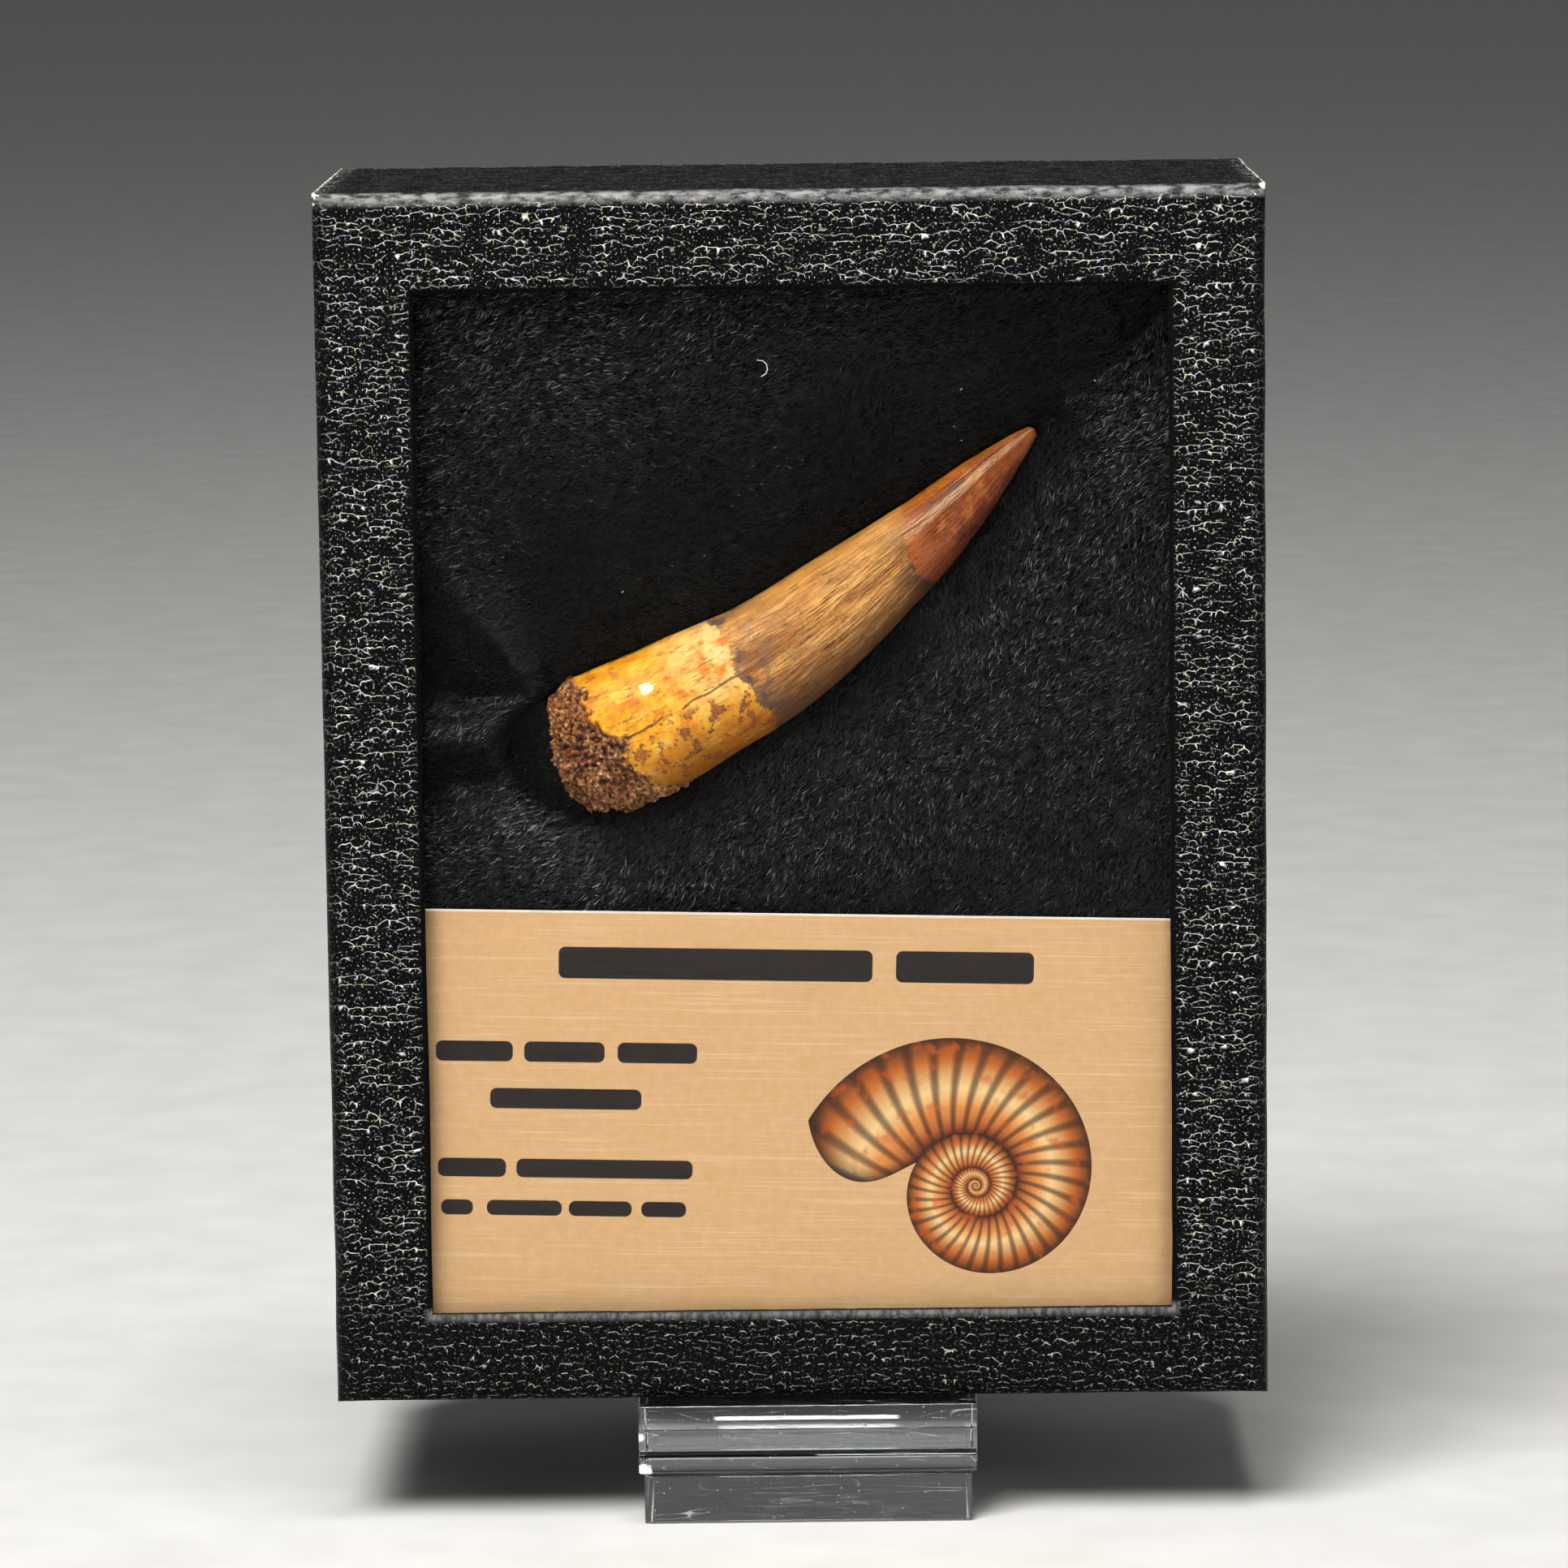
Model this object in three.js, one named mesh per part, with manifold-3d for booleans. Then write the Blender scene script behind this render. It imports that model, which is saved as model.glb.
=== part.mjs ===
// A fossil dinosaur tooth in a windowed display box that stands on a small clear
// stand. Millimetres, +Z up. The window faces -Y, and the origin lies on the ground
// under the middle of the whole object.
//
// The box's own pieces are drawn in box space: x across, y the depth behind the front
// face, z the height above the box's underside.

import * as THREE from 'three';
import { mergeVertices } from 'three/addons/utils/BufferGeometryUtils.js';
import Module from 'manifold-3d';

// ---------------------------------------------------------------- driving sizes

const GAP = 0.3; // clearance between pieces that touch

// Two-part cardboard box: a lid with a window over a tray.
const BOX_WIDTH = 108;
const BOX_HEIGHT = 140;
const BOX_DEPTH = 52;
const BOARD = 1.5; // covered cardboard
const LID_DEPTH = 50.5; // the tray's back shows behind the lid's edge
const TRAY_CLEARANCE = 0.4;
const LID_EDGE_RADIUS = 1.3;
const TRAY_EDGE_RADIUS = 0.6;
const WINDOW_EDGE_RADIUS = 0.6;
const RAIL_LEFT = 11.3;
const RAIL_RIGHT = 11;
const RAIL_TOP = 11.4;
const RAIL_BOTTOM = 10.3;
const PANE = 1.2;

// Printed card, a standard 3.5 by 2 inch one.
const CARD_WIDTH = 88.9;
const CARD_HEIGHT = 50.8;
const CARD_THICKNESS = 0.4;
const CARD_CENTRE_X = 0;
const CARD_CENTRE_Z = 31;
const CARD_TURN = THREE.MathUtils.degToRad(1.4); // clockwise, as seen from the front

// Tooth: stations from the tip to the broken root. x and z place the axis, depth is
// the axis's distance behind the front face, and half is half the width.
const TOOTH_STATIONS = [
  { x: 27.9, z: 111.6, depth: 8.8, half: 0 },
  { x: 27.4, z: 111.1, depth: 8.8, half: 0.85 },
  { x: 25.9, z: 109.7, depth: 8.9, half: 1.5 },
  { x: 22.0, z: 105.8, depth: 9.2, half: 2.85 },
  { x: 16.2, z: 100.2, depth: 9.6, half: 4.25 },
  { x: 9.9, z: 94.9, depth: 10.0, half: 5.5 },
  { x: 3.5, z: 89.7, depth: 10.3, half: 6.5 },
  { x: -3.1, z: 85.1, depth: 10.5, half: 7.2 },
  { x: -10.2, z: 81.2, depth: 10.7, half: 7.75 },
  { x: -17.3, z: 77.7, depth: 10.8, half: 8.3 },
  { x: -22.6, z: 75.6, depth: 10.8, half: 8.2 },
  { x: -26.0, z: 74.4, depth: 10.8, half: 7.3 },
];
const TOOTH_FLATNESS = 0.82; // thickness over width
const TOOTH_RINGS = 34;
const TOOTH_SIDES = 40;
const CRUST_FROM = 0.87; // where the crusted break starts, as a share of the axis
const CRUST_LUMP = 0.5; // height of the crust's lumps
const BREAK_BULGE = 1.1; // how far the broken end bulges past the last station

// Velvet-covered pad that fills the tray, with the tooth sunk into it.
const PAD_REST = 4.3; // depth of the pad's face where nothing presses it
const PAD_COLUMNS = 32;
const PAD_ROWS = 42;
const DIMPLE_REACH_ABOVE = 11; // how far the dent round the tooth spreads
const DIMPLE_REACH_BELOW = 7;
const DIMPLE_BELOW_AXIS = 0.4; // the pad meets the tooth just behind its widest line
const POCKET_CLEARANCE = 0.35;
// Creases in the pad's face: ends, depth, and reach on the upper and lower side.
const CREASES = [
  { from: [-52, 81.6], to: [-28, 79.6], depth: 3.4, above: 7, below: 2.2 },
  { from: [-52, 68.6], to: [-26, 69.4], depth: 2.2, above: 4, below: 3 },
  { from: [29, 113.5], to: [52, 132], depth: 2.8, above: 6, below: 4 },
];

// Clear stand: a thick plate under the box, on a bent sheet with a back rest, on a block.
const STAND_WIDTH = 39.2;
const STAND_SHIFT_X = 0.6; // the stand isn't quite under the box's middle
const SHEET = 2.2;
const BEND_RADIUS = 1.5; // inside the bend
const STAND_FRONT = 2; // the stand's reach in front of the box
const PLATE_HEIGHT = 5.5;
const REST_HEIGHT = 58;
const REST_CORNER_RADIUS = 6;
const BLOCK_HEIGHT = 5.7;
const BLOCK_INSET = 0.6;
const BLOCK_TAIL = 6; // the block's reach behind the back rest
const CLEAR_BEVEL = 0.25;

// ---------------------------------------------------------------- worked-out sizes

const LEDGE_TOP = BLOCK_HEIGHT + GAP + SHEET;
const PLATE_BOTTOM = LEDGE_TOP + GAP;
const BOX_BOTTOM = PLATE_BOTTOM + PLATE_HEIGHT + GAP;
const STAND_DEPTH = STAND_FRONT + BOX_DEPTH + GAP + SHEET + BLOCK_TAIL;
const FACE_Y = STAND_FRONT - STAND_DEPTH / 2;
const PANE_FRONT = BOARD + GAP;
const PANE_BACK = PANE_FRONT + PANE;
const RIM = PANE_BACK + GAP;
const TRAY_INSET = BOARD + TRAY_CLEARANCE;
const TRAY_WALL_INSIDE = TRAY_INSET + BOARD;

// ---------------------------------------------------------------- materials

const material = (color, roughness, opacity = 1) =>
  new THREE.MeshStandardMaterial({
    color,
    roughness,
    metalness: 0,
    opacity,
    transparent: opacity < 1,
  });

const leatherette = material(0x1b1b1e, 0.5);
const glass = material(0xf2f5f5, 0.03, 0.15);
const velvet = material(0x1a1b1d, 0.95);
const fossil = material(0xa9783c, 0.5);
const linenCard = material(0xddb583, 0.8);
const acrylic = material(0xf4f7f8, 0.05, 0.25);

// ---------------------------------------------------------------- mesh helpers

// Makes a closed geometry with its faces pointing out.
function closedGeometry(points, triangles) {
  let volume = 0;
  for (const [a, b, c] of triangles) {
    volume += points[a].dot(points[b].clone().cross(points[c]));
  }
  const faces = volume < 0 ? triangles.map(([a, b, c]) => [a, c, b]) : triangles;
  const geometry = new THREE.BufferGeometry();
  geometry.setFromPoints(points);
  geometry.setIndex(faces.flat());
  geometry.computeVertexNormals();
  return geometry;
}

// Joins loops of equal length into a skin. It closes on its first loop when ring is
// true, and otherwise both ends are capped.
function loft(loops, ring = false) {
  const sides = loops[0].length;
  const points = loops.flat();
  const triangles = [];
  const last = ring ? loops.length : loops.length - 1;
  for (let i = 0; i < last; i += 1) {
    const here = i * sides;
    const next = ((i + 1) % loops.length) * sides;
    for (let j = 0; j < sides; j += 1) {
      const k = (j + 1) % sides;
      triangles.push([here + j, here + k, next + k], [here + j, next + k, next + j]);
    }
  }
  if (!ring) {
    const end = (loops.length - 1) * sides;
    for (let j = 1; j < sides - 1; j += 1) {
      triangles.push([0, j + 1, j], [end, end + j, end + j + 1]);
    }
  }
  return closedGeometry(points, triangles);
}

// A rectangle facing along y, as a loop.
const rectangle = (x0, x1, z0, z1, y) => [
  new THREE.Vector3(x0, y, z0),
  new THREE.Vector3(x1, y, z0),
  new THREE.Vector3(x1, y, z1),
  new THREE.Vector3(x0, y, z1),
];

// The box's outer rectangle, moved in by inset, at a depth.
const outerLoop = (inset, depth) =>
  rectangle(-BOX_WIDTH / 2 + inset, BOX_WIDTH / 2 - inset, inset, BOX_HEIGHT - inset, depth);

// The window's rectangle, moved out by grow, at a depth.
const windowLoop = (grow, depth) =>
  rectangle(
    -BOX_WIDTH / 2 + RAIL_LEFT - grow,
    BOX_WIDTH / 2 - RAIL_RIGHT + grow,
    RAIL_BOTTOM - grow,
    BOX_HEIGHT - RAIL_TOP + grow,
    depth,
  );

// A quarter round from 0 to 90 degrees as [across, along] shares of its radius.
function quarterRound(steps) {
  const shares = [];
  for (let i = 0; i <= steps; i += 1) {
    const angle = (i / steps) * (Math.PI / 2);
    shares.push([1 - Math.cos(angle), 1 - Math.sin(angle)]);
  }
  return shares;
}

function addMesh(parent, name, geometry, finish) {
  const mesh = new THREE.Mesh(geometry, finish);
  mesh.name = name;
  parent.add(mesh);
  return mesh;
}

const wasm = await Module();
wasm.setup();

function toManifold(geometry) {
  const bare = geometry.clone();
  bare.deleteAttribute('normal');
  bare.deleteAttribute('uv');
  const merged = mergeVertices(bare);
  return new wasm.Manifold(
    new wasm.Mesh({
      numProp: 3,
      vertProperties: new Float32Array(merged.attributes.position.array),
      triVerts: new Uint32Array(merged.index.array),
    }),
  );
}

function fromManifold(solid) {
  const mesh = solid.getMesh();
  const geometry = new THREE.BufferGeometry();
  geometry.setAttribute('position', new THREE.BufferAttribute(mesh.vertProperties, 3));
  geometry.setIndex(new THREE.BufferAttribute(mesh.triVerts, 1));
  geometry.computeVertexNormals();
  return geometry;
}

// ---------------------------------------------------------------- box

// Side walls and front frame in one folded piece, with soft edges.
function lidGeometry() {
  const outerEdge = quarterRound(5).map(([across, along]) =>
    outerLoop(across * LID_EDGE_RADIUS, along * LID_EDGE_RADIUS),
  );
  const windowEdge = quarterRound(4).map(([across, along]) =>
    windowLoop(along * WINDOW_EDGE_RADIUS, across * WINDOW_EDGE_RADIUS),
  );
  const inside = [
    windowLoop(0, BOARD),
    outerLoop(BOARD, BOARD),
    outerLoop(BOARD, LID_DEPTH),
  ];
  return loft([outerLoop(0, LID_DEPTH), ...outerEdge, ...windowEdge, ...inside], true);
}

const paneGeometry = () => loft([outerLoop(TRAY_INSET, PANE_FRONT), outerLoop(TRAY_INSET, PANE_BACK)]);

function trayGeometry() {
  const backEdge = quarterRound(3).map(([across, along]) =>
    outerLoop(TRAY_INSET + along * TRAY_EDGE_RADIUS, BOX_DEPTH - across * TRAY_EDGE_RADIUS),
  );
  return loft([
    ...backEdge,
    outerLoop(TRAY_INSET, RIM),
    outerLoop(TRAY_WALL_INSIDE, RIM),
    outerLoop(TRAY_WALL_INSIDE, BOX_DEPTH - BOARD),
  ]);
}

// ---------------------------------------------------------------- tooth

const toothAxis = new THREE.CatmullRomCurve3(
  TOOTH_STATIONS.map(({ x, depth, z }) => new THREE.Vector3(x, depth, z)),
);
const toothHalfWidth = new THREE.SplineCurve(
  TOOTH_STATIONS.map(({ half }, i) => new THREE.Vector2(i, half)),
);

// An even but irregular field of lumps, from -1 to 1.
const lumps = (p) =>
  0.6 * Math.sin(1.9 * p.x + 2.2 * Math.sin(0.9 * p.z)) * Math.sin(2.3 * p.z + 1.1 * p.y) +
  0.4 * Math.sin(3.1 * p.y + 1.7 * Math.sin(1.3 * p.x) + 2.9 * p.z);

// One ring of the tooth's skin round the axis at t, with its radii scaled.
function toothRing(t, scale, along, grow) {
  const centre = toothAxis.getPoint(t);
  const forward = toothAxis.getTangent(t);
  const across = new THREE.Vector3(0, 1, 0).cross(forward).normalize();
  const back = forward.clone().cross(across).normalize();
  const half = toothHalfWidth.getPoint(t).y * scale;
  const crust = THREE.MathUtils.smoothstep(t, CRUST_FROM, CRUST_FROM + 0.05);
  const ring = [];
  for (let j = 0; j < TOOTH_SIDES; j += 1) {
    const angle = (j / TOOTH_SIDES) * Math.PI * 2;
    const outward = across
      .clone()
      .multiplyScalar(Math.cos(angle) * half)
      .addScaledVector(back, Math.sin(angle) * half * TOOTH_FLATNESS);
    const point = centre.clone().add(outward).addScaledVector(forward, along);
    const lump = crust * CRUST_LUMP * lumps(point);
    const reach = outward.length() || 1;
    point.addScaledVector(outward, (lump + grow) / reach);
    point.addScaledVector(forward, scale < 1 ? lump : 0);
    ring.push(point);
  }
  return ring;
}

function toothGeometry(grow = 0) {
  const rings = [];
  for (let i = 1; i <= TOOTH_RINGS; i += 1) {
    // Rings crowd towards the tip, where the skin turns over quickly.
    const t = (i / TOOTH_RINGS) ** 1.25;
    rings.push(toothRing(t, 1, 0, grow));
  }
  const breakRounds = [
    [0.86, 0.7],
    [0.6, 1],
    [0.3, 0.85],
  ];
  for (const [scale, bulge] of breakRounds) {
    rings.push(toothRing(1, scale, bulge * BREAK_BULGE + grow, grow * scale));
  }
  const tip = toothAxis.getPoint(0).addScaledVector(toothAxis.getTangent(0), -grow);
  return loft([Array.from({ length: TOOTH_SIDES }, () => tip.clone()), ...rings]);
}

// ---------------------------------------------------------------- velvet pad

const AXIS_SAMPLES = Array.from({ length: 61 }, (_, i) => {
  const t = i / 60;
  return { point: toothAxis.getPoint(t), half: toothHalfWidth.getPoint(t).y };
});

// Distance from a place on the pad to the tooth's outline, with the nearest sample.
function nearestToTooth(x, z) {
  let best = { distance: Infinity, sample: null };
  for (const sample of AXIS_SAMPLES) {
    const distance = Math.hypot(x - sample.point.x, z - sample.point.z) - sample.half;
    if (distance < best.distance) {
      best = { distance, sample };
    }
  }
  return best;
}

function creaseDepth({ from, to, depth, above, below }, x, z) {
  const [dx, dz] = [to[0] - from[0], to[1] - from[1]];
  const length = Math.hypot(dx, dz);
  const run = THREE.MathUtils.clamp(((x - from[0]) * dx + (z - from[1]) * dz) / length ** 2, 0, 1);
  const [offX, offZ] = [x - from[0] - run * dx, z - from[1] - run * dz];
  const side = offZ > 0 ? above : below;
  return depth * Math.exp(-((Math.hypot(offX, offZ) / side) ** 1.5));
}

// Depth of the pad's face behind the box's front.
function padDepth(x, z) {
  const { distance, sample } = nearestToTooth(x, z);
  const rim = sample.point.y + DIMPLE_BELOW_AXIS - PAD_REST;
  const reach = z > sample.point.z ? DIMPLE_REACH_ABOVE : DIMPLE_REACH_BELOW;
  const dimple = rim * Math.exp(-Math.max(distance, 0) / reach);
  const creases = CREASES.map((crease) => creaseDepth(crease, x, z));
  return PAD_REST + Math.max(dimple, ...creases);
}

function padGeometry() {
  const inset = TRAY_WALL_INSIDE + GAP;
  const back = BOX_DEPTH - BOARD - GAP;
  const [x0, z0] = [-BOX_WIDTH / 2 + inset, inset];
  const stepX = (BOX_WIDTH - 2 * inset) / PAD_COLUMNS;
  const stepZ = (BOX_HEIGHT - 2 * inset) / PAD_ROWS;
  const points = [];
  const triangles = [];
  const index = (i, j) => j * (PAD_COLUMNS + 1) + i;
  for (let j = 0; j <= PAD_ROWS; j += 1) {
    for (let i = 0; i <= PAD_COLUMNS; i += 1) {
      const [x, z] = [x0 + i * stepX, z0 + j * stepZ];
      points.push(new THREE.Vector3(x, padDepth(x, z), z));
    }
  }
  for (let j = 0; j < PAD_ROWS; j += 1) {
    for (let i = 0; i < PAD_COLUMNS; i += 1) {
      const [a, b, c, d] = [index(i, j), index(i + 1, j), index(i + 1, j + 1), index(i, j + 1)];
      triangles.push([a, b, c], [a, c, d]);
    }
  }
  // Side walls run from the face's border to the back's four corners.
  const border = [];
  for (let i = 0; i < PAD_COLUMNS; i += 1) border.push(index(i, 0));
  for (let j = 0; j < PAD_ROWS; j += 1) border.push(index(PAD_COLUMNS, j));
  for (let i = PAD_COLUMNS; i > 0; i -= 1) border.push(index(i, PAD_ROWS));
  for (let j = PAD_ROWS; j > 0; j -= 1) border.push(index(0, j));
  const backStart = points.length;
  for (const vertex of border) {
    const { x, z } = points[vertex];
    points.push(new THREE.Vector3(x, back, z));
  }
  const centre = points.length;
  points.push(new THREE.Vector3(0, back, BOX_HEIGHT / 2));
  border.forEach((vertex, k) => {
    const next = (k + 1) % border.length;
    const [a, b] = [backStart + k, backStart + next];
    triangles.push([vertex, a, b], [vertex, b, border[next]], [a, centre, b]);
  });
  const pad = toManifold(closedGeometry(points, triangles));
  return fromManifold(pad.subtract(toManifold(toothGeometry(POCKET_CLEARANCE))));
}

// ---------------------------------------------------------------- stand

// Extrudes a side view, drawn in (y, z), across the stand's width, centred on x = 0.
function extrudeAcross(shape, width) {
  const geometry = new THREE.ExtrudeGeometry(shape, {
    depth: width - 2 * CLEAR_BEVEL,
    bevelSize: CLEAR_BEVEL,
    bevelThickness: CLEAR_BEVEL,
    bevelOffset: -CLEAR_BEVEL,
    bevelSegments: 1,
    curveSegments: 8,
  });
  geometry.translate(0, 0, -width / 2 + CLEAR_BEVEL);
  const axes = new THREE.Matrix4().makeBasis(
    new THREE.Vector3(0, 1, 0),
    new THREE.Vector3(0, 0, 1),
    new THREE.Vector3(1, 0, 0),
  );
  return geometry.applyMatrix4(axes);
}

function restGeometry() {
  const front = -STAND_DEPTH / 2;
  const back = STAND_DEPTH / 2 - BLOCK_TAIL;
  const bottom = BLOCK_HEIGHT + GAP;
  const top = LEDGE_TOP + REST_HEIGHT;
  const outerRadius = BEND_RADIUS + SHEET;
  const side = new THREE.Shape();
  side.moveTo(front, bottom);
  side.lineTo(back - outerRadius, bottom);
  side.absarc(back - outerRadius, bottom + outerRadius, outerRadius, -Math.PI / 2, 0, false);
  side.lineTo(back, top);
  side.lineTo(back - SHEET, top);
  side.lineTo(back - SHEET, LEDGE_TOP + BEND_RADIUS);
  side.absarc(back - outerRadius, bottom + outerRadius, BEND_RADIUS, 0, -Math.PI / 2, true);
  side.lineTo(front, LEDGE_TOP);
  side.closePath();

  // Trims the back rest's two top corners to a round.
  const half = STAND_WIDTH / 2 + 1;
  const radius = REST_CORNER_RADIUS;
  const outline = new THREE.Shape();
  outline.moveTo(-half, 0);
  outline.lineTo(half, 0);
  outline.lineTo(half, top - radius);
  outline.lineTo(STAND_WIDTH / 2, top - radius);
  outline.absarc(STAND_WIDTH / 2 - radius, top - radius, radius, 0, Math.PI / 2, false);
  outline.absarc(-STAND_WIDTH / 2 + radius, top - radius, radius, Math.PI / 2, Math.PI, false);
  outline.lineTo(-half, top - radius);
  outline.closePath();
  const trim = new THREE.ExtrudeGeometry(outline, {
    depth: STAND_DEPTH + 2,
    bevelEnabled: false,
    curveSegments: 6,
  });
  trim.rotateX(Math.PI / 2).translate(0, STAND_DEPTH / 2 + 1, 0);
  const sheet = toManifold(extrudeAcross(side, STAND_WIDTH));
  return fromManifold(sheet.intersect(toManifold(trim)));
}

// A straight slab across the stand, from its front to its back and from bottom to top.
function slabGeometry(front, back, bottom, top, width) {
  const side = new THREE.Shape();
  side.moveTo(front, bottom);
  side.lineTo(back, bottom);
  side.lineTo(back, top);
  side.lineTo(front, top);
  side.closePath();
  return extrudeAcross(side, width);
}

// The plate ends in front of the sheet's bend.
function plateGeometry() {
  const back = STAND_DEPTH / 2 - BLOCK_TAIL - SHEET - BEND_RADIUS - GAP;
  const top = PLATE_BOTTOM + PLATE_HEIGHT;
  return slabGeometry(-STAND_DEPTH / 2, back, PLATE_BOTTOM, top, STAND_WIDTH);
}

function blockGeometry() {
  const front = -STAND_DEPTH / 2 + BLOCK_INSET;
  return slabGeometry(front, STAND_DEPTH / 2, 0, BLOCK_HEIGHT, STAND_WIDTH - 2 * BLOCK_INSET);
}

// ---------------------------------------------------------------- assembly

const part = new THREE.Group();

const box = new THREE.Group();
box.position.set(0, FACE_Y, BOX_BOTTOM);
part.add(box);
addMesh(box, 'lid', lidGeometry(), leatherette);
addMesh(box, 'window_pane', paneGeometry(), glass);
addMesh(box, 'base_tray', trayGeometry(), leatherette);
addMesh(box, 'velvet_pad', padGeometry(), velvet);
addMesh(box, 'tooth', toothGeometry(), fossil);
const cardGeometry = new THREE.BoxGeometry(CARD_WIDTH, CARD_THICKNESS, CARD_HEIGHT);
const card = addMesh(box, 'info_card', cardGeometry, linenCard);
card.position.set(CARD_CENTRE_X, RIM + CARD_THICKNESS / 2, CARD_CENTRE_Z);
card.rotation.y = CARD_TURN;

const stand = new THREE.Group();
stand.position.x = STAND_SHIFT_X;
part.add(stand);
addMesh(stand, 'stand_plate', plateGeometry(), acrylic);
addMesh(stand, 'stand_rest', restGeometry(), acrylic);
addMesh(stand, 'stand_block', blockGeometry(), acrylic);

export default part;
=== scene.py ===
import math
from functools import partial

import bmesh
import bpy
import numpy as np
from mathutils import Matrix, Quaternion, Vector, noise


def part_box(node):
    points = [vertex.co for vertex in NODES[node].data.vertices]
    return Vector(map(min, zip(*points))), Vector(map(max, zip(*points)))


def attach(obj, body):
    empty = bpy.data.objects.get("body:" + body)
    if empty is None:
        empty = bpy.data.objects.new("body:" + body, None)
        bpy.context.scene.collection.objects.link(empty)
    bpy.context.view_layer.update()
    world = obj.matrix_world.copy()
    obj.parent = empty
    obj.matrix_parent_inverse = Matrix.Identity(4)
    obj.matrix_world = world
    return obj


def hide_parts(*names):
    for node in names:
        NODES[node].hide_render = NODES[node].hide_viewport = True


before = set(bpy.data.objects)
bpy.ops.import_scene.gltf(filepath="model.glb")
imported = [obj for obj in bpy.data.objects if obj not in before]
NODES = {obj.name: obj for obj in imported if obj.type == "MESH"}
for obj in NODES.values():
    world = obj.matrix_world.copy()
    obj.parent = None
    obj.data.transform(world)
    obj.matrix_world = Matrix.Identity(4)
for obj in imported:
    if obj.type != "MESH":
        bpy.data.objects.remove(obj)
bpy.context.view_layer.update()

# A fossil tooth on a plush pad in a windowed, leatherette-covered box, with a printed
# card, on a small clear stand. Metres, +Z up, and the window faces -Y. Box space has
# its depth behind the box's front face and its height above the box's underside.

MM = 0.001
LID_LOW, LID_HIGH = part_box("lid")
FACE_Y = LID_LOW[1]
BOX_BOTTOM = LID_LOW[2]


def box_point(x, depth, z):
    """A place in box space, given in millimetres, as a point in metres."""
    return Vector((x * MM, FACE_Y + depth * MM, BOX_BOTTOM + z * MM))


# ------------------------------------------------------------------ helpers

def colour(code):
    """An sRGB hex colour as linear RGBA."""
    channels = [int(code[i:i + 2], 16) / 255 for i in (1, 3, 5)]
    linear = [c / 12.92 if c <= 0.04045 else ((c + 0.055) / 1.055) ** 2.4 for c in channels]
    return (*linear, 1.0)


def join(tree, value, socket):
    """Sets a shader input to a number or colour, or links a node or socket to it."""
    if isinstance(value, bpy.types.Node):
        value = next(s for s in value.outputs if s.enabled)
    if isinstance(value, bpy.types.NodeSocket):
        tree.links.new(value, socket)
    else:
        socket.default_value = value


OPERATIONS = {"*": "MULTIPLY", "+": "ADD", "-": "SUBTRACT", "max": "MAXIMUM", "abs": "ABSOLUTE"}


def add_node(tree, kind, *values, stops=None, curve=None, **settings):
    """Adds a shader node, whose kind may be a sign or end in its operation. The values
    fill its inputs in order, and a dictionary names them. Stops are a colour ramp's, and
    curve is a float curve's points."""
    if kind in OPERATIONS:
        kind = "Math/" + OPERATIONS[kind]
    kind, _, operation = kind.partition("/")
    node = tree.nodes.new("ShaderNode" + kind)
    if operation:
        node.operation = operation
    for name, value in settings.items():
        setattr(node, name, value)
    for place, value in enumerate(values):
        if not isinstance(value, dict):
            join(tree, value, node.inputs[place])
            continue
        for name, given in value.items():
            join(tree, given, next(s for s in node.inputs if s.name == name and s.enabled))
    if stops:
        elements = node.color_ramp.elements
        while len(elements) < len(stops):
            elements.new(0.5)
        for element, (place, shade) in zip(elements, stops):
            element.position = place
            element.color = colour(shade)
    if curve:
        points = node.mapping.curves[0].points
        while len(points) < len(curve):
            points.new(0.5, 0.5)
        for point, place in zip(points, curve):
            point.location = place
        node.mapping.update()
    return node


def new_material(name):
    """A material with one principled shader, and a shorthand that adds nodes to it."""
    material = bpy.data.materials.new(name)
    material.use_nodes = True
    tree = material.node_tree
    tree.nodes.clear()
    node = partial(add_node, tree)
    shader = node("BsdfPrincipled")
    node("OutputMaterial", {"Surface": shader})
    return material, node, shader


def feed(shader, **inputs):
    """Sets or links the shader's inputs; an underscore in a name stands for a space."""
    for name, value in inputs.items():
        join(shader.id_data, value, shader.inputs[name.replace("_", " ")])


def paint(node, base, *coats):
    """Lays coats over a base: each is where it lies, from 0 to 1, and its colour."""
    for share, tone in coats:
        if isinstance(tone, str):
            tone = colour(tone)
        base = node("Mix", {"Factor": share, "A": base, "B": tone}, data_type="RGBA")
    return base


def finish_piece(name, bm, materials, replaces=(), smooth=True):
    """Turns a bmesh into a piece that rides on the body, with its faces outward."""
    bmesh.ops.recalc_face_normals(bm, faces=bm.faces)
    mesh = bpy.data.meshes.new(name)
    bm.to_mesh(mesh)
    bm.free()
    return place_mesh(name, mesh, materials, replaces, smooth)


def place_mesh(name, mesh, materials, replaces=(), smooth=True):
    piece = bpy.data.objects.new(name, mesh)
    bpy.context.scene.collection.objects.link(piece)
    for material in materials:
        mesh.materials.append(material)
    mesh.polygons.foreach_set("use_smooth", [smooth] * len(mesh.polygons))
    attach(piece, "root")
    if replaces:
        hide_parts(*replaces)
    return piece


def box_matrix(low, high):
    """Places a unit cube between two corners."""
    low, high = Vector(low), Vector(high)
    return Matrix.Translation((low + high) / 2) @ Matrix.Diagonal((*(high - low), 1))


def round_over(bm, geom, offset, segments, affect="EDGES", clamp_overlap=False):
    """Rounds edges, or the corners of a sheet."""
    bmesh.ops.bevel(bm, geom=geom, offset=offset, segments=segments, profile=0.5,
                    affect=affect, material=-1, clamp_overlap=clamp_overlap)


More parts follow.
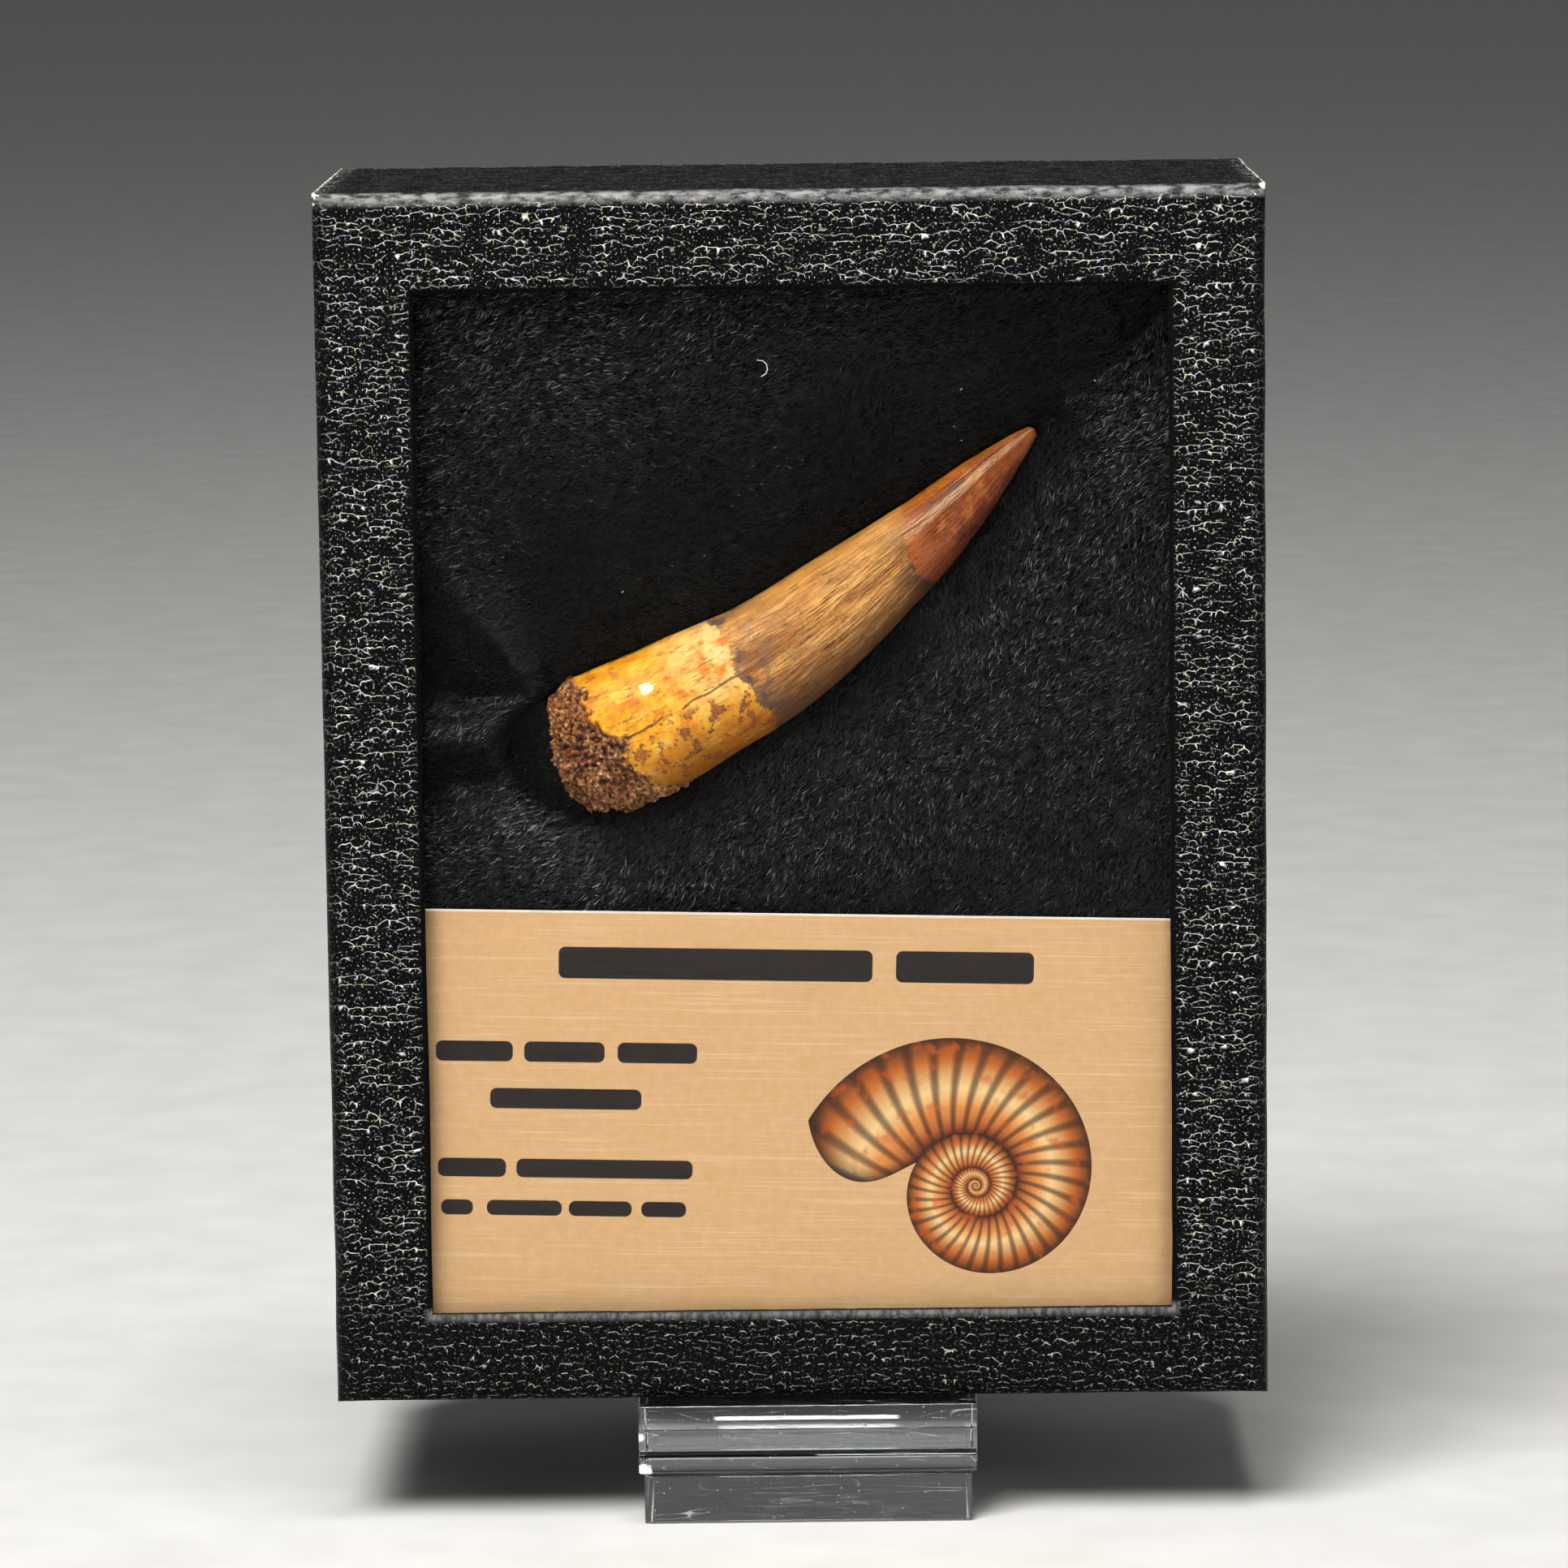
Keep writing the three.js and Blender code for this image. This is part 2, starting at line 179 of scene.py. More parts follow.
def cut_across(bm, axis, at):
    """Cuts every face along the plane that crosses an axis at one place."""
    place, normal = Vector(), Vector()
    place[axis], normal[axis] = at, 1
    bmesh.ops.bisect_plane(bm, geom=bm.verts[:] + bm.edges[:] + bm.faces[:], dist=1e-7,
                           plane_co=place, plane_no=normal)


# ------------------------------------------------------------------ camera and light

CAMERA_TARGET = box_point(-1.26, 0, 72.03)
CAMERA_AZIMUTH = math.radians(0.4)
CAMERA_ELEVATION = math.radians(8.32)
CAMERA_ROLL = math.radians(-0.7)
CAMERA_DISTANCE = 0.8
CAMERA_LENS = 160.6
FLOOR_DROP = -0.05 * MM  # keeps the floor from lying in the clear block's own underside
FLOOR_REACH = 6
ROOM_LIGHT = 0.16
# Each soft light's name, place, width, height and power, in metres and watts.
LIGHTS = (
    ("key", (-0.3, -0.62, 1.15), 0.6, 0.6, 27),
    ("top_strip", (0.1, -0.22, 0.95), 0.22, 0.22, 3),
    ("fill_right", (1.2, -0.9, 0.45), 0.7, 0.7, 3),
    ("low_strip", (-0.004, -0.98, 0.15), 0.046, 0.12, 0.5),
)


def make_camera():
    flat = math.cos(CAMERA_ELEVATION)
    forward = Vector((
        -math.sin(CAMERA_AZIMUTH) * flat,
        math.cos(CAMERA_AZIMUTH) * flat,
        -math.sin(CAMERA_ELEVATION),
    ))
    data = bpy.data.cameras.new("camera")
    data.lens = CAMERA_LENS
    data.sensor_width = 36
    data.clip_end = 50
    camera = bpy.data.objects.new("camera", data)
    camera.location = CAMERA_TARGET - forward * CAMERA_DISTANCE
    camera.rotation_mode = "QUATERNION"
    roll = Quaternion((0, 0, 1), CAMERA_ROLL)
    camera.rotation_quaternion = forward.to_track_quat("-Z", "Y") @ roll
    bpy.context.scene.collection.objects.link(camera)
    bpy.context.scene.camera = camera


def make_light(name, place, width, height, power):
    """A soft white light that faces the middle of the box."""
    data = bpy.data.lights.new(name, "AREA")
    data.shape = "RECTANGLE"
    data.size = width
    data.size_y = height
    data.energy = power
    light = bpy.data.objects.new(name, data)
    light.location = place
    light.rotation_euler = (CAMERA_TARGET - Vector(place)).to_track_quat("-Z", "Y").to_euler()
    bpy.context.scene.collection.objects.link(light)


def make_stage():
    material, node, shader = new_material("matt_paper_floor")
    grain = node("TexNoise", {"Scale": 900.0, "Detail": 3.0})
    tone = node("ValToRGB", {"Fac": grain}, stops=[(0.3, "#bebcb8"), (0.7, "#c6c4c0")])
    feed(shader, Base_Color=tone, Roughness=0.9, Specular_IOR_Level=0.2)
    bm = bmesh.new()
    bmesh.ops.create_grid(bm, x_segments=1, y_segments=1, size=FLOOR_REACH)
    mesh = bpy.data.meshes.new("floor")
    bm.to_mesh(mesh)
    bm.free()
    mesh.materials.append(material)
    mesh.transform(Matrix.Translation((0, 0, FLOOR_DROP)))
    floor = bpy.data.objects.new("floor", mesh)
    bpy.context.scene.collection.objects.link(floor)

    world = bpy.data.worlds.new("studio")
    bpy.context.scene.world = world
    world.use_nodes = True
    background = world.node_tree.nodes["Background"]
    background.inputs["Color"].default_value = colour("#e6e8ec")
    background.inputs["Strength"].default_value = ROOM_LIGHT
    bpy.context.scene.view_settings.view_transform = "Standard"

    for light in LIGHTS:
        make_light(*light)


# ------------------------------------------------------------------ leatherette

GRAIN_WIDTH = 1.35  # of one cell of the embossed grain, in millimetres
GRAIN_HEIGHT = 0.92


def wrap_uv(bm):
    """Unfolds the wrap: the front stays flat, and each side carries on past its edge."""
    layer = bm.loops.layers.uv.new("wrap")
    for face in bm.faces:
        n = face.normal
        side = abs(n.x) > 0.25 and abs(n.x) >= abs(n.z)
        upright = not side and abs(n.z) > 0.25
        for loop in face.loops:
            p = loop.vert.co
            depth = p.y - FACE_Y
            x, z = p.x, p.z
            if side:
                x += math.copysign(depth, n.x)
            if upright:
                z += math.copysign(depth, n.z)
            loop[layer].uv = (x, z)


def leatherette_paper():
    """Embossed paper leatherette glued over board: a black skin with painted highlights along
    the upper edges of its crinkled grain, with the paper's white core where it's worn."""
    material, node, shader = new_material("embossed_paper_leatherette")
    sheet = node("UVMap", uv_map="wrap")
    place = node("TexCoord").outputs["Object"]

    def noise_at(vector, scale, detail=2.0, stretch=(1, 1, 1)):
        """Noise over the unfolded sheet; scale counts its waves per millimetre."""
        moved = node("Mapping", {"Vector": vector, "Scale": stretch})
        return node("TexNoise", {"Vector": moved, "Scale": scale / MM, "Detail": detail},
                    noise_dimensions="2D")

    # The grain is rows of small wavy cells. Their upper edges are painted as highlights, where light from
    # above would catch them.
    row = node("*", node("SeparateXYZ", sheet).outputs["Y"], 1 / (GRAIN_HEIGHT * MM))
    for scale, stretch, push in ((0.12, (0.35, 1, 1), 2.2), (0.4, (0.7, 1, 1), 0.9),
                                 (1.6, (1, 0.7, 1), 0.3)):
        sway = node("*", noise_at(sheet, scale, 1.0, stretch), push)
        row = node("+", sway, row)
    column = node("*", node("SeparateXYZ", sheet).outputs["X"], 1 / (GRAIN_WIDTH * MM))
    column = node("+", node("*", noise_at(sheet, 0.5, 1.0), 1.5), column)
    grid = node("CombineXYZ", {"X": column, "Y": row})
    cell = {"Vector": grid, "Scale": 1.0, "Randomness": 0.8}
    brink = node("TexVoronoi", cell, voronoi_dimensions="2D", feature="DISTANCE_TO_EDGE")
    middle = node("TexVoronoi", cell, voronoi_dimensions="2D").outputs["Position"]
    above = node("VectorMath/SUBTRACT", grid, middle)
    # On the rail below the window the painted highlights sit on the grain's very tops alone.
    height = node("SeparateXYZ", sheet).outputs["Y"]
    sill_height = BOX_BOTTOM + WINDOW_LOW[1] * MM
    low_rail = node("MapRange", height, sill_height + 4 * MM, sill_height - 1 * MM)
    start = node("*", low_rail, 0.22)
    above = node("-", node("SeparateXYZ", above).outputs["Y"], start)
    above = node("MapRange", above, 0.02, 0.3)
    crease = node("MapRange", brink.outputs["Distance"], 0.115, 0.045, interpolation_type="SMOOTHSTEP")
    crease = node("*", crease, above)
    # Each crease runs for a few millimetres and stops.
    runs = noise_at(sheet, 0.6, 6.0, (0.45, 1, 1))
    kept = node("MapRange", runs, 0.44, 0.54)
    kept = node("max", kept, node("*", low_rail, 0.85))
    glint = node("*", crease, kept)
    # Below the window the runs break into arcs a millimetre long.
    arcs = node("MapRange", noise_at(sheet, 1.3, 2.0, (1, 0.6, 1)), 0.45, 0.53)
    arcs = node("max", arcs, node("-", 1.0, low_rail))
    glint = node("*", glint, arcs)

    # Painted highlights in pips of 0.15 mm between the creases.
    pips = node("MapRange", noise_at(sheet, 3.2, 1.0), 0.68, 0.82, 0.0, 0.8)
    pips = node("*", pips, node("MapRange", low_rail, 0.0, 1.0, 1.0, 0.35))
    lights = node("max", glint, pips)

    # The painted highlights fade on the rounded edges, where the wrap is stretched smooth,
    # and round the window, where it lies in shade.
    spot = node("SeparateXYZ", place)

    def reach_past(axis, low, high):
        """How far a place lies outside a span, negative inside it."""
        off = node("-", spot.outputs[axis], (low + high) / 2)
        off = node("abs", off)
        return node("-", off, (high - low) / 2)

    from_side = node("*", reach_past("X", LID_LOW[0], LID_HIGH[0]), -1.0)
    from_top = node("-", LID_HIGH[2], spot.outputs["Z"])
    from_front = node("-", spot.outputs["Y"], FACE_Y)
    top_edge = node("max", from_top, from_front)
    corner = node("max", from_side, from_top)
    nearest = node("Math/MINIMUM", node("max", from_side, from_front), top_edge)
    flat = node("MapRange", nearest, 1.0 * MM, 1.8 * MM, 0.2, 1.0)
    sill_low = box_point(WINDOW_LOW[0], 0, WINDOW_LOW[1])
    sill_high = box_point(WINDOW_HIGH[0], 0, WINDOW_HIGH[1])
    from_sill = node("max", reach_past("X", sill_low.x, sill_high.x),
                     reach_past("Z", sill_low.z, sill_high.z))
    from_sill = node("max", from_sill, node("+", from_front, -0.4 * MM))
    sill = node("MapRange", from_sill, 0.4 * MM, 1.0 * MM)
    lights = node("*", lights, node("*", flat, sill))
    # The painted highlights are dimmed on the top wall, which light from above doesn't make glint, and a
    # little on the rail below the window.
    facing = node("SeparateXYZ", node("TexCoord").outputs["Normal"]).outputs["Z"]
    top_wall_glint_dimming = node("MapRange", facing, 0.8, 0.98, 1.0, 0.12)
    lights = node("*", lights, top_wall_glint_dimming)
    dim = node("MapRange", low_rail, 0.0, 1.0, 1.0, 0.72)
    lights = node("*", lights, dim)

    fine = node("TexVoronoi", {"Vector": sheet, "Scale": 1 / (0.34 * MM)}, voronoi_dimensions="2D")
    skin = node("ValToRGB", {"Fac": fine.outputs["Distance"]},
                stops=[(0.05, "#0b0b0c"), (0.55, "#020202")])
    speck = node("MapRange", noise_at(sheet, 3.6, 2.0), 0.56, 0.78, 0.0, 0.26)
    skin = paint(node, skin, (speck, "#3e3e43"))
    tint = node("TexNoise", {"Vector": sheet, "Scale": 700.0}, noise_dimensions="2D")
    painted_glint_tint = node("ValToRGB", {"Fac": tint},
                 stops=[(0.35, "#c6cad6"), (0.5, "#eceae4"), (0.65, "#dedabc")])
    # Painted highlights: the creases' upper edges and the pips are painted pale over the black skin.
    tone = paint(node, skin, (lights, painted_glint_tint))

    # Painted highlight: the top front edge, where the stretched wrap would shine under light from above,
    # is painted paler in patches.
    top_edge_highlight = node("MapRange", noise_at(sheet, 0.8, 5.0, (0.7, 1, 1)), 0.36, 0.64, 0.06, 0.66)
    edge = node("MapRange", top_edge, 1.7 * MM, 0.7 * MM)
    top_edge_highlight = node("*", top_edge_highlight, edge)
    tone = paint(node, tone, (top_edge_highlight, "#a2a09d"))

    # Painted highlight on the window's lower rounded edge, which faces the light from above, mottled in
    # patches.
    from_low = node("-", height, sill_height)
    from_low = node("max", node("abs", from_low), from_sill)
    sill_highlight = node("MapRange", from_low, 0.95 * MM, 0.3 * MM)
    sill_highlight_mottle = node("MapRange", noise_at(sheet, 1.1, 4.0, (1.6, 0.5, 1)), 0.3, 0.7, 0.12, 0.5)
    sill_highlight = node("*", sill_highlight, sill_highlight_mottle)
    tone = paint(node, tone, (sill_highlight, "#8e8c89"))

    # Worn corner edges show white paper.
    fray = node("TexNoise", {"Vector": place, "Scale": 900.0, "Detail": 3.0})
    reach = node("MapRange", fray, 0.4, 0.65, 0.05 * MM, 0.42 * MM)
    tip = node("MapRange", from_front, 2.2 * MM, 0.8 * MM, 1.0, 3.2)
    reach = node("*", reach, tip)
    worn = node("Math/LESS_THAN", corner, reach)
    tone = paint(node, tone, (worn, "#d9d6cc"))

    relief = node("+", node("*", fine.outputs["Distance"], -0.5),
                  node("*", lights, 1.0))
    bump = node("Bump", {"Height": relief, "Strength": 1.0, "Distance": 0.09 * MM})
    # Where the wrap is stretched over a rounded edge it is smoother and shines.
    rough = node("MapRange", flat, 0.25, 1.0, 0.26, 0.85)
    feed(shader, Base_Color=tone, Roughness=rough, Normal=bump, IOR=1.15)
    return material


BOARD = 1.5 * MM
RAIL = 11 * MM
WINDOW_LOW = (-42.7, 10.3)
WINDOW_HIGH = (43.0, 128.6)
LID_EDGE = 1.7 * MM
WINDOW_EDGE = 0.6 * MM
GRID = 3 * MM
TOUCHING = 1e-6
# The noise that sways the lid's walls takes its offsets from a seed, and without one it
# takes them from the clock.
SWAY_SEED = 1795484023
SWAY_WAVES = 55  # in a metre
SWAY_ACROSS, SWAY_UP = 0.22 * MM, 0.18 * MM
PINCH_REACH = 3 * MM
PINCH = 0.4


def cut_grid(bm, low, high, step):
    """Cuts the faces along evenly spaced planes, so that vertex moves can shape them."""
    for axis in range(3):
        count = round((high[axis] - low[axis]) / step)
        for k in range(1, count):
            cut_across(bm, axis, low[axis] + (high[axis] - low[axis]) * k / count)


def make_lid(wrap):
    bm = bmesh.new()
    bmesh.ops.create_cube(bm, size=1, matrix=box_matrix(LID_LOW, LID_HIGH))
    back = [f for f in bm.faces if f.normal.y > 0.5]
    bmesh.ops.delete(bm, geom=back, context="FACES_ONLY")
    front = next(f for f in bm.faces if f.normal.y < -0.5)
    bmesh.ops.inset_region(bm, faces=[front], thickness=RAIL, use_even_offset=True)
    low = box_point(WINDOW_LOW[0], 0, WINDOW_LOW[1])
    high = box_point(WINDOW_HIGH[0], 0, WINDOW_HIGH[1])
    middle = front.calc_center_median()
    for vert in front.verts:
        vert.co.x = high.x if vert.co.x > middle.x else low.x
        vert.co.z = high.z if vert.co.z > middle.z else low.z
    bmesh.ops.delete(bm, geom=[front], context="FACES_ONLY")
    bmesh.ops.solidify(bm, geom=bm.faces[:], thickness=BOARD)
    bmesh.ops.recalc_face_normals(bm, faces=bm.faces)

    def on_front(edge):
        return all(v.co.y - FACE_Y < TOUCHING for v in edge.verts)

    def on_window(edge):
        return all(low[i] - TOUCHING < v.co[i] < high[i] + TOUCHING for v in edge.verts for i in (0, 2))

    def is_outer(edge):
        a, b = (v.co for v in edge.verts)
        mid = (a + b) / 2
        return any(abs(mid[i] - wall[i]) < TOUCHING for wall in (LID_LOW, LID_HIGH) for i in (0, 2))

    rim = [e for e in bm.edges if on_front(e) and is_outer(e)]
    round_over(bm, rim, LID_EDGE, 6)
    sill = [e for e in bm.edges if on_front(e) and on_window(e)]
    round_over(bm, sill, WINDOW_EDGE, 4)
    cut_grid(bm, LID_LOW, LID_HIGH, GRID)

    # Glued board is never quite true: its edges wander by a tenth of a millimetre, and
    # the wrap is pinched to a point at the front corners.
    centre = (Vector(LID_LOW) + Vector(LID_HIGH)) / 2
    noise.seed_set(SWAY_SEED)
    for vert in bm.verts:
        sway = noise.noise_vector(vert.co * SWAY_WAVES)
        inward = Vector((centre.x - vert.co.x, 0, centre.z - vert.co.z))
        vert.co.x += math.copysign(abs(sway.x) * SWAY_ACROSS, inward.x)
        vert.co.z += math.copysign(abs(sway.z) * SWAY_UP, inward.z)
        corner = Vector((
            LID_HIGH[0] if vert.co.x > centre.x else LID_LOW[0],
            LID_LOW[1],
            LID_HIGH[2] if vert.co.z > centre.z else LID_LOW[2],
        ))
        near = (vert.co - corner).length
        if near < PINCH_REACH:
            vert.co = vert.co.lerp(corner, PINCH * (1 - near / PINCH_REACH))
    wrap_uv(bm)
    finish_piece("lid_wrapped", bm, [wrap], ["lid"])


def make_tray(wrap):
    low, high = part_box("base_tray")
    bm = bmesh.new()
    bmesh.ops.create_cube(bm, size=1, matrix=box_matrix(low, high))
    front = [f for f in bm.faces if f.normal.y < -0.5]
    bmesh.ops.delete(bm, geom=front, context="FACES_ONLY")
    bmesh.ops.solidify(bm, geom=bm.faces[:], thickness=BOARD)
    bmesh.ops.recalc_face_normals(bm, faces=bm.faces)
    rim = [e for e in bm.edges if all(high[1] - v.co.y < TOUCHING for v in e.verts)]
    round_over(bm, rim, WINDOW_EDGE, 4)
    cut_grid(bm, low, high, 2 * GRID)
    wrap_uv(bm)
    finish_piece("tray_wrapped", bm, [wrap], ["base_tray"])


# ------------------------------------------------------------------ tooth

# Stations from the tip to the broken root, in box space: x, depth and z of the axis,
# half the width there, and the length along the axis.
TOOTH_STATIONS = np.array([
    (27.9, 8.8, 111.6, 0.0, 0.0),
    (27.4, 8.8, 111.1, 0.85, 0.7),
    (25.9, 8.9, 109.7, 1.5, 2.8),
    (22.0, 9.2, 105.8, 2.85, 8.3),
    (16.2, 9.6, 100.2, 4.25, 16.3),
    (9.9, 10.0, 94.9, 5.5, 24.6),
    (3.5, 10.3, 89.7, 6.5, 32.8),
    (-3.1, 10.5, 85.1, 7.2, 40.9),
    (-10.2, 10.7, 81.2, 7.75, 49.0),
    (-17.3, 10.8, 77.7, 8.3, 56.9),
    (-22.6, 10.8, 75.6, 8.2, 62.6),
    (-26.0, 10.8, 74.4, 7.3, 66.2),
])
TOOTH_FLATNESS = 0.82
TOOTH_SIDES = 280
TOOTH_ROWS = 320
TOOTH_LENGTH = TOOTH_STATIONS[-1, 4]
BREAK_BULGE = 1.9
# Where the crusted break begins along the axis, from the lower edge to the upper one.
CRUST_EDGE = [(-1.0, 55.5), (-0.75, 57.8), (-0.5, 59.1), (-0.3, 59.8), (0.0, 58.6),
              (0.15, 60.9), (0.5, 62.2), (0.85, 61.4), (1.0, 62.8)]


def catmull(points, t, centripetal):
    """A Catmull-Rom curve through points, at t from 0 to 1. It returns the place."""
    count = len(points) - 1
    i = min(int(t * count), count - 1)
    w = t * count - i
    p1, p2 = points[i], points[i + 1]
    if centripetal:
        p0 = points[i - 1] if i else 2 * points[0] - points[1]
        p3 = points[i + 2] if i + 2 <= count else 2 * points[-1] - points[-2]
        d0, d1, d2 = (np.linalg.norm(b - a) ** 0.5 for a, b in ((p0, p1), (p1, p2), (p2, p3)))
        m1 = ((p1 - p0) / d0 - (p2 - p0) / (d0 + d1) + (p2 - p1) / d1) * d1
        m2 = ((p2 - p1) / d1 - (p3 - p1) / (d1 + d2) + (p3 - p2) / d2) * d1
    else:
        m1 = (p2 - points[max(i - 1, 0)]) / 2
        m2 = (points[min(i + 2, count)] - p1) / 2
    return ((2 * p1 - 2 * p2 + m1 + m2) * w ** 3 + (3 * p2 - 3 * p1 - 2 * m1 - m2) * w ** 2
            + m1 * w + p1)


def tooth_section(s):
    """Centre, forward direction and half width at s millimetres along the axis."""
    t = np.interp(s, TOOTH_STATIONS[:, 4], np.linspace(0, 1, len(TOOTH_STATIONS)))
    axis = TOOTH_STATIONS[:, :3]
    ahead, behind = min(t + 1e-3, 1), max(t - 1e-3, 0)
    forward = catmull(axis, ahead, True) - catmull(axis, behind, True)
    half = catmull(TOOTH_STATIONS[:, 3:4], t, False)[0]
    if s < 2.8:
        # The tip is worn round.
        half = min(math.sqrt(1.5 * s), 0.62 + 0.314 * s)
    return catmull(axis, t, True), forward / np.linalg.norm(forward), half


def noise_field(points, scale, offset=0.0):
    """Smooth noise from -1 to 1 at each point; scale counts its waves per millimetre."""
    shift = Vector((offset, offset, offset))
    return np.array([noise.noise(Vector(p) + shift) for p in points * scale])


def grain_field(points, scale):
    """Packed grains: 0 in the cracks between them and up to 1 at their tops."""
    found = (noise.voronoi(Vector(p))[0] for p in points * scale)
    return np.array([min(near[1] - near[0], 1) for near in found])


def make_tooth(material):
    bm = bmesh.new()
    bmesh.ops.create_uvsphere(bm, u_segments=TOOTH_SIDES, v_segments=TOOTH_ROWS, radius=1)
    mesh = bpy.data.meshes.new("tooth_fossil")
    bm.to_mesh(mesh)
    bm.free()
    ball = np.empty(len(mesh.vertices) * 3)
    mesh.vertices.foreach_get("co", ball)
    ball = ball.reshape(-1, 3)

    # Rows of the ball become rows along the axis, and the last fifth closes the break.
    row_share = np.linspace(0, 1, TOOTH_ROWS + 1)
    row_s = np.interp(row_share, (0, 0.012, 0.03, 0.1, 0.52, 0.8), (0, 0.05, 0.5, 3, 52, TOOTH_LENGTH))
    sections = [tooth_section(float(value)) for value in row_s]
    row = np.rint(np.arccos(np.clip(ball[:, 2], -1, 1)) / math.pi * TOOTH_ROWS).astype(int)
    angle = np.arctan2(ball[:, 1], ball[:, 0])
    s = row_s[row]
    centre = np.array([section[0] for section in sections])[row]
    forward = np.array([section[1] for section in sections])[row]
    half = np.array([section[2] for section in sections])[row]
    closing = np.clip((row / TOOTH_ROWS - 0.8) / 0.2, 0, 1)
    scale = np.cos(closing * math.pi / 2) ** 0.8
    bulge = np.sin(closing * math.pi / 2) * BREAK_BULGE
    across = np.cross((0, 1, 0), forward)
    across /= np.linalg.norm(across, axis=1, keepdims=True)
    back = np.cross(forward, across)
    upper, rear = np.cos(angle), np.sin(angle)
    out = across * upper[:, None] + back * (rear * TOOTH_FLATNESS)[:, None]
    place = centre + out * (half * scale)[:, None] + forward * bulge[:, None]
    out /= np.linalg.norm(out, axis=1, keepdims=True)

    ragged = noise_field(place, 0.5) * 1.2 + noise_field(place, 1.7, 5) * 0.7
    crust = np.clip((s - np.interp(upper, *zip(*CRUST_EDGE)) + ragged) / 0.3, 0, 1)
    grains = grain_field(place, 1.35)
    small = grain_field(place, 3.1)
    rough = noise_field(place, 1.9, 4)
    lumps = (noise_field(place, 0.2, 11) * 1.5 + noise_field(place, 0.55, 3) * 1.1
             + (grains - 0.35) * 0.6 + (small - 0.35) * 0.3 + rough * 0.7
             + noise_field(place, 4.5) * 0.3)
    lumps = np.clip(lumps - 0.2, -1.6, 0.6)
    # The upper corner of the break is worn away.
    lumps -= np.clip((s - 62.5) / 3.5, 0, 1) * np.clip((upper - 0.35) / 0.65, 0, 1) * 0.9
    # Shallow flutes run along the crown, and the whole surface is slightly uneven.
    flutes = noise_field(np.stack([upper * 9, rear * 9, s * 0.05], axis=1), 1.0)
    fine = noise_field(np.stack([upper * 34, rear * 34, s * 0.16], axis=1), 1.0)
    smooth = flutes * 0.06 + fine * 0.025 + noise_field(place, 0.16, 2) * 0.2
    height = crust * lumps + (1 - crust) * smooth * np.minimum(s / 6, 1)
    direction = out * (1 - closing)[:, None] + forward * closing[:, None]
    place = place + direction * height[:, None]

    points = place * MM + (0, FACE_Y, BOX_BOTTOM)
    mesh.vertices.foreach_set("co", points.ravel())
    straight = np.stack([upper * 7, rear * 7, s + closing * 7], axis=1)
    for name, kind, field, values in (
        ("straight", "FLOAT_VECTOR", "vector", straight),
        ("crust", "FLOAT", "value", crust),
        ("crust_height", "FLOAT", "value", np.clip(grains * 0.5 + small * 0.25 + rough * 0.4 + 0.2, 0, 1)),
    ):
        layer = mesh.attributes.new(name, kind, "POINT")
        layer.data.foreach_set(field, values.ravel())
    place_mesh("tooth_fossil", mesh, [material], ["tooth"])


